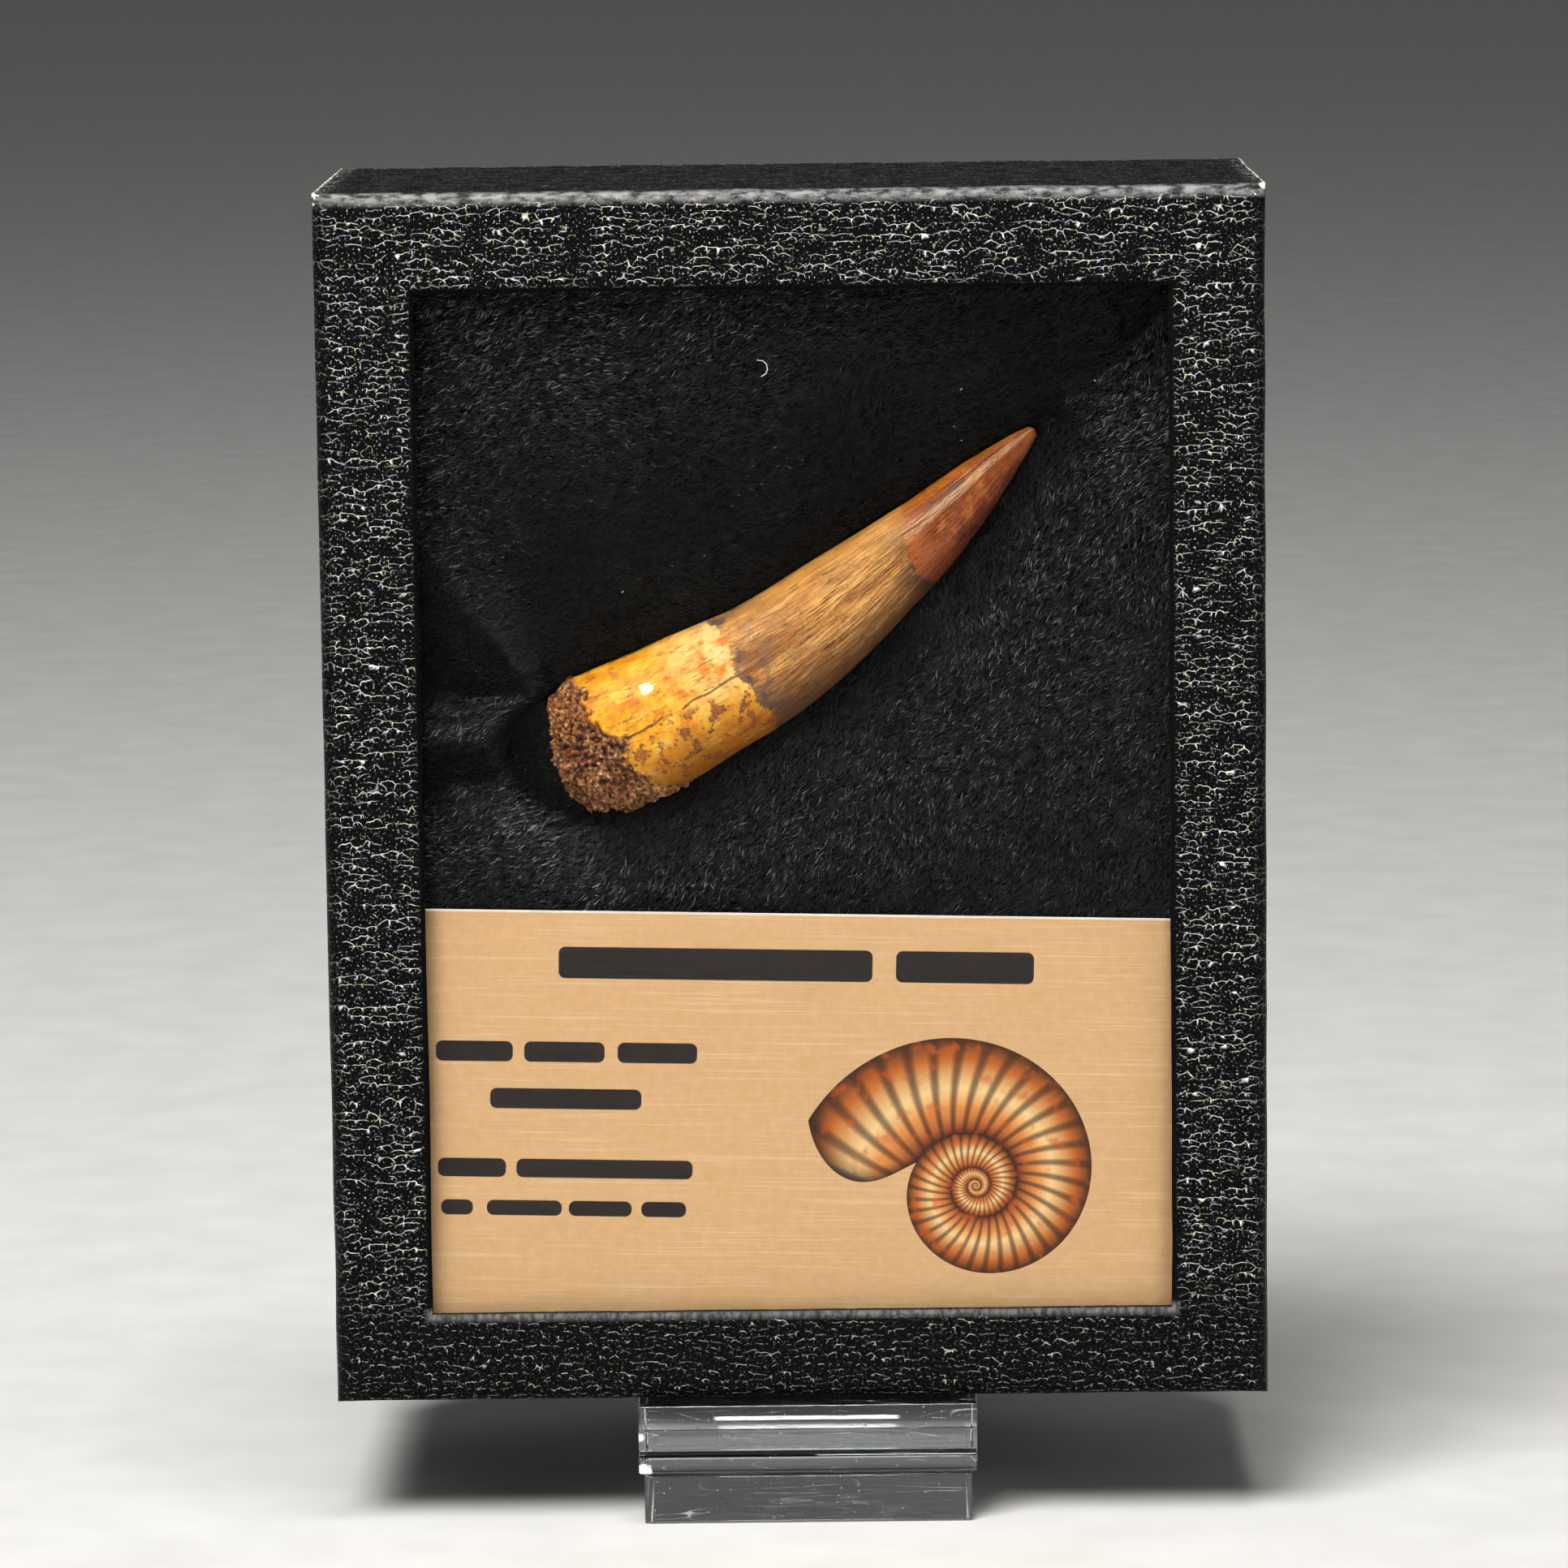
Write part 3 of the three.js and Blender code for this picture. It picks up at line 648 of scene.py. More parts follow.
def fossil_enamel():
    """Mineralised enamel, dentine and matrix: a glossy red-brown tip, a silky streaked
    crown, an ochre root with dark mineral spots, and a gritty crusted break."""
    material, node, shader = new_material("fossil_enamel_and_dentine")
    straight = node("Attribute", attribute_name="straight").outputs["Vector"]
    crust = node("Attribute", attribute_name="crust").outputs["Fac"]
    place = node("Mapping", {
        "Vector": node("TexCoord").outputs["Object"], "Scale": (1 / MM,) * 3,
    })
    spot = node("SeparateXYZ", straight)
    side = node("MapRange", spot.outputs["X"], -7.0, 7.0)
    length = spot.outputs["Z"]

    def noise_at(vector, scale, detail=3.0, stretch=(1, 1, 1), roughness=0.5):
        moved = node("Mapping", {"Vector": vector, "Scale": stretch})
        return node("TexNoise", {"Vector": moved, "Scale": scale, "Detail": detail,
                                 "Roughness": roughness})

    def past(edge_points, ragged, soft):
        """1 where the place lies rootward of an edge that runs round the tooth."""
        curve = [((a + 1) / 2, s / 70) for a, s in edge_points]
        edge = node("FloatCurve", {"Value": side}, curve=curve)
        edge = node("*", edge, 70.0)
        rough = noise_at(place, 0.9, 5.0, roughness=0.7)
        rough = node("*", node("-", rough, 0.5), ragged)
        over = node("+", node("-", length, edge), rough)
        return node("MapRange", over, -soft, soft, interpolation_type="SMOOTHSTEP")

    tip_edge = [(-1, 20.0), (-0.5, 20.5), (-0.1, 20.2), (0.45, 18.9), (0.75, 18.1), (1, 17.8)]
    root_edge = [(-1, 44.2), (-0.7, 42.9), (-0.45, 43.8), (-0.2, 43.5), (0.1, 44.3),
                 (0.45, 43.6), (0.8, 43.5), (1, 45.1)]
    in_crown = past(tip_edge, 1.6, 0.12)
    worn = node("MapRange", side, 0.55, 0.85)
    in_crown = node("Mix", {"Factor": worn, "A": in_crown, "B": past(tip_edge, 1.6, 2.4)})
    in_root = past(root_edge, 2.6, 0.15)

    def spot_at(upper, along, width, height, ragged=0.5):
        """A ragged mark at a place on the tooth: upper share, millimetres along."""
        off = node("VectorMath/SUBTRACT", straight, (upper * 7, 0, along))
        off = node("VectorMath/MULTIPLY", off, (1 / height, 0, 1 / width))
        reach = node("VectorMath/LENGTH", off).outputs["Value"]
        rough = node("*", noise_at(place, 1.3, 4.0), ragged * 2)
        reach = node("+", reach, rough)
        return node("MapRange", reach, 1.0 + ragged, 0.85 + ragged)

    # Grain shared by the zones: streaks along the axis, pits and hairline cracks.
    streak = noise_at(straight, 5.2, 4.0, (1, 1, 0.06), 0.7)
    fluting = node("MapRange", noise_at(straight, 9.5, 2.0, (1, 1, 0.025), 0.5), 0.49, 0.42)
    wide = noise_at(straight, 0.5, 3.0, (1, 1, 0.16))
    cloud = noise_at(place, 0.45, 5.0, roughness=0.6)
    grainy = noise_at(place, 3.2, 4.0, roughness=0.7)
    wander = noise_at(straight, 1.1, 4.0, (1, 1, 0.1), 0.6)
    wander = node("abs", node("-", wander, 0.5))
    hairline = node("MapRange", wander, 0.012, 0.003)
    hairline = node("*", hairline,
                    node("MapRange", noise_at(straight, 0.5, 3.0), 0.5, 0.58))

    # Tip: glossy red-brown with a paler collar and pits, with a painted cream highlight along
    # its ridge, painted light in lighter orange along its upper rim and painted shade below.
    tip = node("ValToRGB", {"Fac": cloud},
               stops=[(0.3, "#5c2208"), (0.44, "#8c3e0e"), (0.56, "#a65014"), (0.7, "#cc7c2a")])
    tip = paint(node, tip,
        (node("MapRange", streak, 0.52, 0.62, 0.0, 0.8), "#4a1c08"),
        (node("*", fluting, 0.5), "#42150a"),
        (node("MapRange", streak, 0.42, 0.34, 0.0, 0.6), "#d08a4a"),
        (node("MapRange", length, 14.5, 18.5, 0.0, 0.6), "#b4602c"),
        (node("MapRange", length, 5.0, 1.0, 0.0, 0.5), "#a8622a"),
        # Painted light: the upper rim lighter orange, as if lit from above.
        (node("MapRange", side, 0.84, 0.97, 0.0, 0.8), "#c8701e"),
    )
    # Painted highlight: a cream streak along the upper ridge, where light from above glints.
    ridge_highlight = node("abs", node("-", side, 0.7))
    ridge_highlight = node("*", node("MapRange", ridge_highlight, 0.11, 0.03),
                 node("MapRange", streak, 0.56, 0.46))
    tip = paint(node, tip,
        (node("*", ridge_highlight, 0.8), "#e6bc8e"),
        # Painted shade: the lower side darker.
        (node("MapRange", side, 0.3, 0.05, 0.0, 0.6), "#4a1c0a"),
    )
    pits = node("TexVoronoi", {"Vector": node("Mapping", {"Vector": straight, "Scale": (1, 1, 0.45)}),
                               "Scale": 2.2})
    pit = node("MapRange", pits.outputs["Distance"], 0.26, 0.14)
    pit = node("*", pit, node("MapRange", cloud, 0.46, 0.53))
    tip = paint(node, tip, (node("*", pit, 0.85), "#2a0d05"))

    # Crown: golden-brown enamel under fine streaks, crossed by hair cracks half a
    # millimetre apart, with a dark collar next to the tip.
    crown = node("ValToRGB", {"Fac": streak},
                 stops=[(0.3, "#4a280a"), (0.41, "#9a5e22"), (0.52, "#dc9c4a"), (0.63, "#ffd288")])
    crown = paint(node, crown,
        (node("MapRange", wide, 0.44, 0.62, 0.0, 0.6), "#9a5216"),
        (node("*", fluting, 0.45), "#4a2608"),
        (node("MapRange", cloud, 0.46, 0.66, 0.0, 0.4), "#e0a050"),
    )
    cross = node("-", noise_at(straight, 1.5, 3.0, (0.3, 0.3, 1.2)), 0.5)
    cross = node("MapRange", node("abs", cross), 0.02, 0.005)
    cross = node("*", cross, node("MapRange", grainy, 0.44, 0.56))
    crown = paint(node, crown,
        (node("*", cross, 0.55), "#4a2c12"),
        # Painted light on the upper side and painted shade on the lower side.
        (node("MapRange", side, 0.7, 0.95, 0.0, 0.4), "#d8963e"),
        (node("MapRange", side, 0.42, 0.06, 0.0, 0.84), "#522a06"),
    )
    collar = node("*", node("MapRange", length, 25.0, 20.5),
                  node("MapRange", cloud, 0.32, 0.5))
    crown = paint(node, crown, (node("*", collar,
                                     node("MapRange", side, 0.95, 0.3, 0.0, 0.9)), "#3f220e"))
    grey = node("*", node("MapRange", length, 35.0, 44.0, 0.0, 1.2),
                node("MapRange", cloud, 0.42, 0.64))
    crown = paint(node, crown, (grey, "#5f4638"))

    # Root: ochre, cream next to the crown, with dark mineral spots on the lower side.
    root = node("ValToRGB", {"Fac": cloud},
                stops=[(0.28, "#c46606"), (0.42, "#ea900c"), (0.56, "#fab224"), (0.72, "#ffd66a")])
    cream = node("*", node("MapRange", length, 53.0, 45.0),
                 node("MapRange", side, 0.3, 0.62))
    root = paint(node, root, (node("*", cream,
                                   node("MapRange", cloud, 0.35, 0.52, 0.0, 0.75)), "#ffe096"))
    scratch = noise_at(straight, 3.4, 4.0, (1, 1, 0.1), 0.7)
    root = paint(node, root,
        (node("MapRange", scratch, 0.56, 0.72, 0.0, 0.6), "#a8661e"),
        # Painted shade: the lower side darker.
        (node("MapRange", side, 0.42, 0.04, 0.0, 0.85), "#94500e"),
    )
    rust = node("*", node("MapRange", noise_at(place, 0.5, 5.0, roughness=0.7), 0.55, 0.62),
                node("MapRange", side, 0.5, 0.85))
    root = paint(node, root, (node("*", rust, 0.8), "#b8661a"))
    lower = node("MapRange", side, 0.62, 0.4)
    blotch = noise_at(place, 0.6, 5.0, roughness=0.65)
    marks = node("*", node("MapRange", blotch, 0.545, 0.565), lower)
    cells = node("TexVoronoi", {"Vector": place, "Scale": 1.25})
    dots = node("MapRange", cells.outputs["Distance"], 0.3, 0.22)
    dots = node("*", dots, node("MapRange", noise_at(place, 0.4, 2.0), 0.48, 0.56))
    marks = node("max", marks, node("*", dots, node("MapRange", side, 0.75, 0.45)))
    stain = paint(node, colour("#5c2a1e"), (node("MapRange", grainy, 0.4, 0.6), "#a65e2a"))
    root = paint(node, root,
        (node("*", marks, 0.85), stain),
        (spot_at(0.53, 54.4, 1.05, 0.6, 0.9), "#fff3d2"),
    )
    fleck = node("*", node("MapRange", grainy, 0.64, 0.7), node("MapRange", side, 0.4, 0.6))
    root = paint(node, root, (node("*", fleck, 0.8), "#b06a22"))
    # One long crack runs from the break towards the crown.
    drift = node("*", node("-", noise_at(straight, 0.3, 5.0), 0.5), 1.0)
    drop = node("*", node("-", length, 62.0), -0.045)
    line = node("-", spot.outputs["X"], drop)
    line = node("abs", node("+", line, drift))
    split = node("*", node("MapRange", line, 0.15, 0.05),
                 node("MapRange", noise_at(straight, 0.5, 2.0), 0.32, 0.42))
    split = node("*", split, node("Math/LESS_THAN", spot.outputs["Y"], 0.0))
    root = paint(node, root, (node("*", split, 0.85), "#5a3418"))

    # Break: grit of several minerals, with painted shade darkening its hollows.
    grit = node("TexVoronoi", {"Vector": place, "Scale": 2.6})
    grit_tone = node("SeparateColor", grit.outputs["Color"])
    grit_tone = node("+", node("*", grit_tone.outputs["Red"], 0.55),
                     node("MapRange", noise_at(place, 2.0, 5.0, roughness=0.75), 0.3, 0.7, 0.0, 0.5))
    rubble = node("ValToRGB", {"Fac": grit_tone},
                  stops=[(0.12, "#3c1810"), (0.4, "#84452a"), (0.68, "#b87f48"), (0.95, "#f2d29c")])
    rim = node("*", node("MapRange", side, 0.45, 0.8), node("MapRange", grainy, 0.5, 0.62))
    rubble = paint(node, rubble,
        (node("*", rim, 0.75), "#cc8026"),
        (node("MapRange", grainy, 0.52, 0.66, 0.0, 0.6), "#a25a26"),
        (node("MapRange", cloud, 0.54, 0.64, 0.0, 0.6), "#3c2018"),
    )
    heights = node("Attribute", attribute_name="crust_height").outputs["Fac"]
    # Painted shade: the lower the grit, the darker it is painted.
    rubble = paint(node, rubble, (node("MapRange", heights, 0.42, 0.12, 0.0, 0.92), "#1e0e0a"))

    fringe = node("*", past(root_edge, 3.6, 0.9), node("-", 1.0, in_root))
    tone = paint(node, tip,
        (in_crown, crown),
        (node("*", fringe, node("MapRange", grainy, 0.4, 0.6, 0.0, 0.55)), "#6b4a3a"),
        (in_root, root),
        (node("*", hairline, 0.7), "#2c180d"),
        (crust, rubble),
    )

    gloss = node("MapRange", in_crown, 0.0, 1.0, 0.12, 0.32)
    gloss = node("+", gloss, node("*", grainy, 0.16))
    gloss = node("+", gloss, node("*", crust, 0.35))
    relief = node("*", streak, 0.8)
    for mark, depth in ((grainy, 0.5), (fluting, -0.7), (pit, -1.6), (hairline, -1.5),
                        (split, -2.5), (cross, -0.6), (in_root, 1.2), (in_crown, 0.6)):
        relief = node("+", relief, node("*", mark, depth))
    bump = node("Bump", {"Height": relief, "Strength": 1.0, "Distance": 0.035 * MM})
    feed(shader, Base_Color=tone, Roughness=gloss, Normal=bump, IOR=1.42, Specular_IOR_Level=0.4)
    return material


# ------------------------------------------------------------------ plush pad

PAD_REST = 4.3
CARD_REACH = 57  # the card presses the pad flat up to this height
DIMPLE_ABOVE, DIMPLE_BELOW, DIMPLE_END = 11, 7, 1.6
DIMPLE_BELOW_AXIS = 0.4
POCKET_CLEARANCE = 0.35
# Creases in the pad's face: two ends, depth, and reach on the upper and lower side.
CREASES = [
    ((-52, 82.6), (-27.5, 81.2), 4.2, 6.5, 3.6),
    ((-52, 69.8), (-27, 73.0), 3.2, 3.4, 4),
    ((28, 112.5), (52, 132), 3.6, 7, 11),
]
TOOTH_SAMPLES = [tooth_section(float(s)) for s in np.linspace(0, TOOTH_LENGTH, 67)]
SAMPLE_PLACE = np.array([centre for centre, _, _ in TOOTH_SAMPLES])
SAMPLE_HALF = np.array([half for _, _, half in TOOTH_SAMPLES])
END_PLACE, END_FORWARD, _ = TOOTH_SAMPLES[-1]
# The cover's cloth simulation: its grid, pressure and frames, and the most it may swell.
PUFF_STEP = 1.5 * MM
PUFF_PRESSURE = 11.0
PUFF_FRAMES = 20
PUFF_CAP = 0.8
puff = np.zeros((2, 2))  # the cover's swelling in millimetres, on a grid over the pad


def puff_at(x, z):
    """The cover's swelling at each place, between the four nearest points of its grid."""
    low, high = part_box("velvet_pad")
    rows, columns = puff.shape
    u = np.clip((x * MM - low[0]) / (high[0] - low[0]), 0, 1) * (columns - 1)
    v = np.clip((z * MM + BOX_BOTTOM - low[2]) / (high[2] - low[2]), 0, 1) * (rows - 1)
    i, j = np.minimum(u.astype(int), columns - 2), np.minimum(v.astype(int), rows - 2)
    u, v = u - i, v - j
    lower = puff[j, i] * (1 - u) + puff[j, i + 1] * u
    upper = puff[j + 1, i] * (1 - u) + puff[j + 1, i + 1] * u
    return lower * (1 - v) + upper * v


def near_crease(x, z, reach):
    """Which places lie within reach of a crease's line."""
    near = np.zeros(len(x), bool)
    for start, end, *_ in CREASES:
        run = np.array(end, float) - start
        along = np.clip(((x - start[0]) * run[0] + (z - start[1]) * run[1]) / (run @ run), 0, 1)
        near |= np.hypot(x - start[0] - along * run[0], z - start[1] - along * run[1]) < reach
    return near


def cover_grid(bm, y, columns, rows):
    """A flat grid over the pad's front, facing the window."""
    low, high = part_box("velvet_pad")
    bmesh.ops.create_grid(
        bm, x_segments=columns, y_segments=rows, size=0.5,
        matrix=Matrix.Translation(((low[0] + high[0]) / 2, y, (low[2] + high[2]) / 2))
        @ Matrix.Rotation(math.pi / 2, 4, "X")
        @ Matrix.Diagonal((high[0] - low[0], high[2] - low[2], 1, 1)),
    )
    return (np.array([v.co.x / MM for v in bm.verts]),
            np.array([(v.co.z - BOX_BOTTOM) / MM for v in bm.verts]))


def simulate_cover():
    """The padding pushes its cover out between the places that hold it down: the rim,
    the creases, the card and the tooth. A cloth simulation gives how far."""
    low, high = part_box("velvet_pad")
    columns = round((high[0] - low[0]) / PUFF_STEP)
    rows = round((high[2] - low[2]) / PUFF_STEP)
    bm = bmesh.new()
    x, z = cover_grid(bm, high[1], columns, rows)
    depth, clear = pad_depth(x, z)
    for vert, d in zip(bm.verts, depth):
        vert.co.y = FACE_Y + d * MM
    mesh = bpy.data.meshes.new("cover")
    bm.to_mesh(mesh)
    bm.free()
    cover = bpy.data.objects.new("cover", mesh)
    bpy.context.scene.collection.objects.link(cover)

    rim = (x < x.min() + 1) | (x > x.max() - 1) | (z > z.max() - 1)
    held = rim | (z < CARD_REACH) | (clear < 1.0) | near_crease(x, z, 1.2)
    group = cover.vertex_groups.new(name="held")
    group.add([int(i) for i in np.nonzero(held)[0]], 1.0, "REPLACE")
    cloth = cover.modifiers.new("cloth", "CLOTH").settings
    cloth.quality = 5
    cloth.mass = 0.3
    cloth.tension_stiffness = cloth.compression_stiffness = 15
    cloth.shear_stiffness = 5
    cloth.bending_stiffness = 0.5
    cloth.vertex_group_mass = "held"
    cloth.use_pressure = True
    cloth.uniform_pressure_force = PUFF_PRESSURE
    cloth.effector_weights.gravity = 0
    for number in range(1, PUFF_FRAMES + 1):
        bpy.context.scene.frame_set(number)
    swollen = cover.evaluated_get(bpy.context.evaluated_depsgraph_get()).to_mesh()
    places = np.empty(len(swollen.vertices) * 3)
    swollen.vertices.foreach_get("co", places)
    moved = depth - (places[1::3] - FACE_Y) / MM
    bpy.data.objects.remove(cover)
    bpy.context.scene.frame_set(1)
    moved = np.where(held, 0, PUFF_CAP * np.tanh(moved / PUFF_CAP))
    return moved[np.lexsort((x.round(3), z.round(3)))].reshape(rows + 1, columns + 1)


def pad_depth(x, z, pocket=True):
    """Depth of the pad's face behind the box's front, for arrays of places, with or
    without the pocket under the tooth."""
    x, z = np.asarray(x, float), np.asarray(z, float)
    off = np.hypot(x[:, None] - SAMPLE_PLACE[:, 0], z[:, None] - SAMPLE_PLACE[:, 2])
    nearest = np.argmin(off - SAMPLE_HALF, axis=1)
    away = off[np.arange(len(x)), nearest] - SAMPLE_HALF[nearest]
    beyond = (x - END_PLACE[0]) * END_FORWARD[0] + (z - END_PLACE[2]) * END_FORWARD[2]
    clear = np.maximum(away, beyond - 1.0)
    axis_depth = SAMPLE_PLACE[nearest, 1]
    rim = axis_depth + DIMPLE_BELOW_AXIS - PAD_REST
    rise = (z - SAMPLE_PLACE[nearest, 2]) / (away + SAMPLE_HALF[nearest] + 0.1)
    reach = np.interp(rise, (-0.6, 0.6), (DIMPLE_BELOW, DIMPLE_ABOVE))
    reach += np.clip(1.5 * beyond / (np.maximum(away, 0) + 2), 0, 1) * (DIMPLE_END - reach)
    sink = rim * np.exp(-np.maximum(away, 0) / reach)
    for start, end, depth, above, below in CREASES:
        run = np.array(end, float) - start
        along = ((x - start[0]) * run[0] + (z - start[1]) * run[1]) / (run @ run)
        along = np.clip(along, 0, 1)
        off_x, off_z = x - start[0] - along * run[0], z - start[1] - along * run[1]
        side = np.where(off_z > 0, above, below)
        sink = np.maximum(sink, depth * np.exp(-(np.hypot(off_x, off_z) / side) ** 1.2))
    face = PAD_REST + sink - puff_at(x, z)
    if not pocket:
        return face, clear
    # Under the tooth the pad follows its back.
    half = SAMPLE_HALF[nearest]
    inside = np.sqrt(np.maximum(half ** 2 - (half + np.minimum(clear, 0)) ** 2, 0))
    bed = axis_depth + DIMPLE_BELOW_AXIS + inside * TOOTH_FLATNESS + POCKET_CLEARANCE
    return np.where(clear < 0, np.maximum(face, bed), face), clear


def make_pad(material):
    global puff
    puff = simulate_cover()
    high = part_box("velvet_pad")[1]
    bm = bmesh.new()
    x, z = cover_grid(bm, high[1], PAD_COLUMNS, PAD_ROWS)
    border = [e for e in bm.edges if e.is_boundary]
    depth, _ = pad_depth(x, z)
    for vert, d in zip(bm.verts, depth):
        vert.co.y = FACE_Y + d * MM
    made = bmesh.ops.extrude_edge_only(bm, edges=border)["geom"]
    for vert in (g for g in made if isinstance(g, bmesh.types.BMVert)):
        vert.co.y = high[1]
    bmesh.ops.holes_fill(bm, edges=[e for e in bm.edges if e.is_boundary])
    piece = finish_piece("plush_pad", bm, [material], ["velvet_pad"])


def plush_backing():
    """Knitted backing under the pile: matt black, seen only between the fibres."""
    material, node, shader = new_material("knitted_plush_backing")
    knit = node("TexNoise", {"Scale": 2500.0, "Detail": 2.0})
    tone = node("ValToRGB", {"Fac": knit}, stops=[(0.35, "#050506"), (0.7, "#0c0c0e")])
    feed(shader, Base_Color=tone, Roughness=0.95, Specular_IOR_Level=0.1)
    return material


def plush_fibre():
    """Brushed polyester pile: black dyed fibres, their grey tones from the shade attribute, which holds
    painted shade and light.
    """
    material, node, shader = new_material("brushed_polyester_pile")
    shade = node("Attribute", attribute_name="shade").outputs["Fac"]
    tone = node("ValToRGB", {"Fac": shade},
                stops=[(0.0, "#020202"), (0.35, "#0c0c0d"), (0.62, "#3c3e42"), (0.95, "#c4c7ce"),
                       (1.0, "#f0ece2")])
    feed(shader, Base_Color=tone, Roughness=0.38, Specular_IOR_Level=0.34)
    return material


FIBRES_PER_MM2 = 26
PILE_LENGTH = (0.6, 1.4)
PILE_WIDTH = (0.05, 0.11)
PILE_SHEETS = 4
PILE_SEED = 7
PAD_COLUMNS, PAD_ROWS = 150, 198
LINT = [
    ((19.4, 116.4), (19.6, 116.6)), ((34.7, 117.3), (34.9, 117.2)), ((-19.7, 93.4), (-19.5, 93.6)),
    ((-3.8, 120.3), (-3.1, 120.2)), ((-3.1, 120.2), (-2.7, 119.8)), ((-2.7, 119.8), (-2.6, 119.2)),
    ((-2.6, 119.2), (-2.8, 118.7)), ((-2.8, 118.7), (-3.3, 118.4)),
]


def grow_pile(material):
    """Short bent blades by the thousand that lie along the nap, in a few joined meshes."""
    rng = np.random.default_rng(PILE_SEED)
    x_range = (WINDOW_LOW[0] - 2, WINDOW_HIGH[0] + 2)
    z_range = (54.0, WINDOW_HIGH[1] + 2)
    area = (x_range[1] - x_range[0]) * (z_range[1] - z_range[0])
    count = int(area * FIBRES_PER_MM2)
    x = rng.uniform(*x_range, count)
    z = rng.uniform(*z_range, count)
    depth, away = pad_depth(x, z)
    keep = away > 0.25
    x, z, depth, away = x[keep], z[keep], depth[keep], away[keep]
    count = len(x)
    step = 0.3
    slope_x = (pad_depth(x + step, z)[0] - pad_depth(x - step, z)[0]) / (2 * step)
    slope_z = (pad_depth(x, z + step)[0] - pad_depth(x, z - step)[0]) / (2 * step)
    normal = np.stack([slope_x, -np.ones(count), slope_z], axis=1)
    normal /= np.linalg.norm(normal, axis=1, keepdims=True)

    # The nap lies nearly level at the upper left and leans up to the right lower down.
    swirl = np.array([noise.noise(Vector((a * 0.07, b * 0.07, 3))) for a, b in zip(x, z)])
    tuft = np.array([noise.noise(Vector((a * 0.6, b * 0.6, 9))) for a, b in zip(x, z)])
    steep = 1 / (1 + np.exp(-(x * 0.9 - (z - 92) * 0.7) / 14))
    angle = np.radians(18 + 40 * steep + swirl * 45 + tuft * 36 + rng.normal(0, 16, count))
    nap = np.stack([np.cos(angle), np.zeros(count), np.sin(angle)], axis=1)
    nap -= normal * np.sum(nap * normal, axis=1, keepdims=True)
    nap /= np.linalg.norm(nap, axis=1, keepdims=True)
    lean = np.radians(rng.uniform(12, 48, count))[:, None]
    way = nap * np.cos(lean) + normal * np.sin(lean)
    length = rng.uniform(*PILE_LENGTH, count)[:, None]
    width = rng.uniform(*PILE_WIDTH, count)[:, None]
    edge = np.cross(way, normal)
    edge /= np.linalg.norm(edge, axis=1, keepdims=True)
    roll = rng.normal(0, 0.4, count)[:, None]
    edge = edge * np.cos(roll) + normal * np.sin(roll)

    root = np.stack([x, depth, z], axis=1) - normal * 0.05
    bend = root + way * length * 0.55 + normal * length * 0.06
    tip = root + way * length - normal * length * 0.08
    for points in (bend, tip):
        points[:, 1] = np.maximum(points[:, 1], np.where(points[:, 2] < 56.5, 3.95, 3.2))
    blades = np.stack([
        root - edge * width / 2, root + edge * width / 2,
        bend + edge * width / 2.4, bend - edge * width / 2.4, tip,
    ], axis=1)
    blades = blades * MM + np.array([0, FACE_Y, BOX_BOTTOM])
    # Painted shade and light: pile on downward-facing slopes, in creases and just under the
    # tooth's lower side is painted darker, on upward-facing slopes lighter, and lower down a little
    # darker.
    span = 0.9
    swell = (pad_depth(x, z + span, False)[0] - pad_depth(x, z - span, False)[0]) / (2 * span)
    slope_shade = np.clip(swell * 1.7, -0.85, 0.26) - np.clip((depth - PAD_REST) / 10, 0, 0.35)
    below = np.interp(x, SAMPLE_PLACE[::-1, 0], SAMPLE_PLACE[::-1, 2]) > z
    slope_shade -= below * 0.7 * np.exp(-away / 1.6)
    low_down = 1 / (1 + np.exp((z - 100) / 8))
    tone = (rng.beta(1.6, 3.3, count) + tuft * 0.12) * (1 + slope_shade) * (1.06 - 0.16 * low_down)
    shade = np.clip(tone, 0, 0.95)

    # A little lint lies on the pile: three specks and a curled hair.
    ends = np.array(LINT)
    start, end = ends[:, 0], ends[:, 1]
    face = pad_depth(start[:, 0], start[:, 1])[0] - 0.75
    start = np.insert(start, 1, face, axis=1)
    end = np.insert(end, 1, face, axis=1)
    thick = np.cross(end - start, (0, 1, 0))
    thick *= 0.05 / np.linalg.norm(thick, axis=1, keepdims=True)
    lint = np.stack([start - thick, start + thick, end + thick, end - thick,
                     end + (end - start) * 0.1], axis=1) * MM + np.array([0, FACE_Y, BOX_BOTTOM])
    blades = np.concatenate([blades, lint])
    shade = np.append(shade, np.ones(len(lint)))
    count = len(blades)

    for k, part in enumerate(np.array_split(np.arange(count), PILE_SHEETS)):
        n = len(part)
        mesh = bpy.data.meshes.new(f"plush_pile_{k + 1}")
        first = np.arange(n)[:, None] * 5
        corners = np.concatenate([first + (0, 1, 2, 3), first + (3, 2, 4)], axis=1)
        mesh.vertices.add(n * 5)
        mesh.vertices.foreach_set("co", blades[part].ravel())
        mesh.loops.add(n * 7)
        mesh.loops.foreach_set("vertex_index", corners.ravel())
        mesh.polygons.add(n * 2)
        starts = (np.arange(n)[:, None] * 7 + (0, 4)).ravel()
        mesh.polygons.foreach_set("loop_start", starts)
        mesh.update(calc_edges=True)
        mesh.validate()
        layer = mesh.attributes.new("shade", "FLOAT", "POINT")
        layer.data.foreach_set("value", np.repeat(shade[part], 5))
        place_mesh(mesh.name, mesh, [material], smooth=False)


# ------------------------------------------------------------------ card

CARD_TURN = math.radians(1.4)
CARD_CENTRE = box_point(0, 3.5, 31)
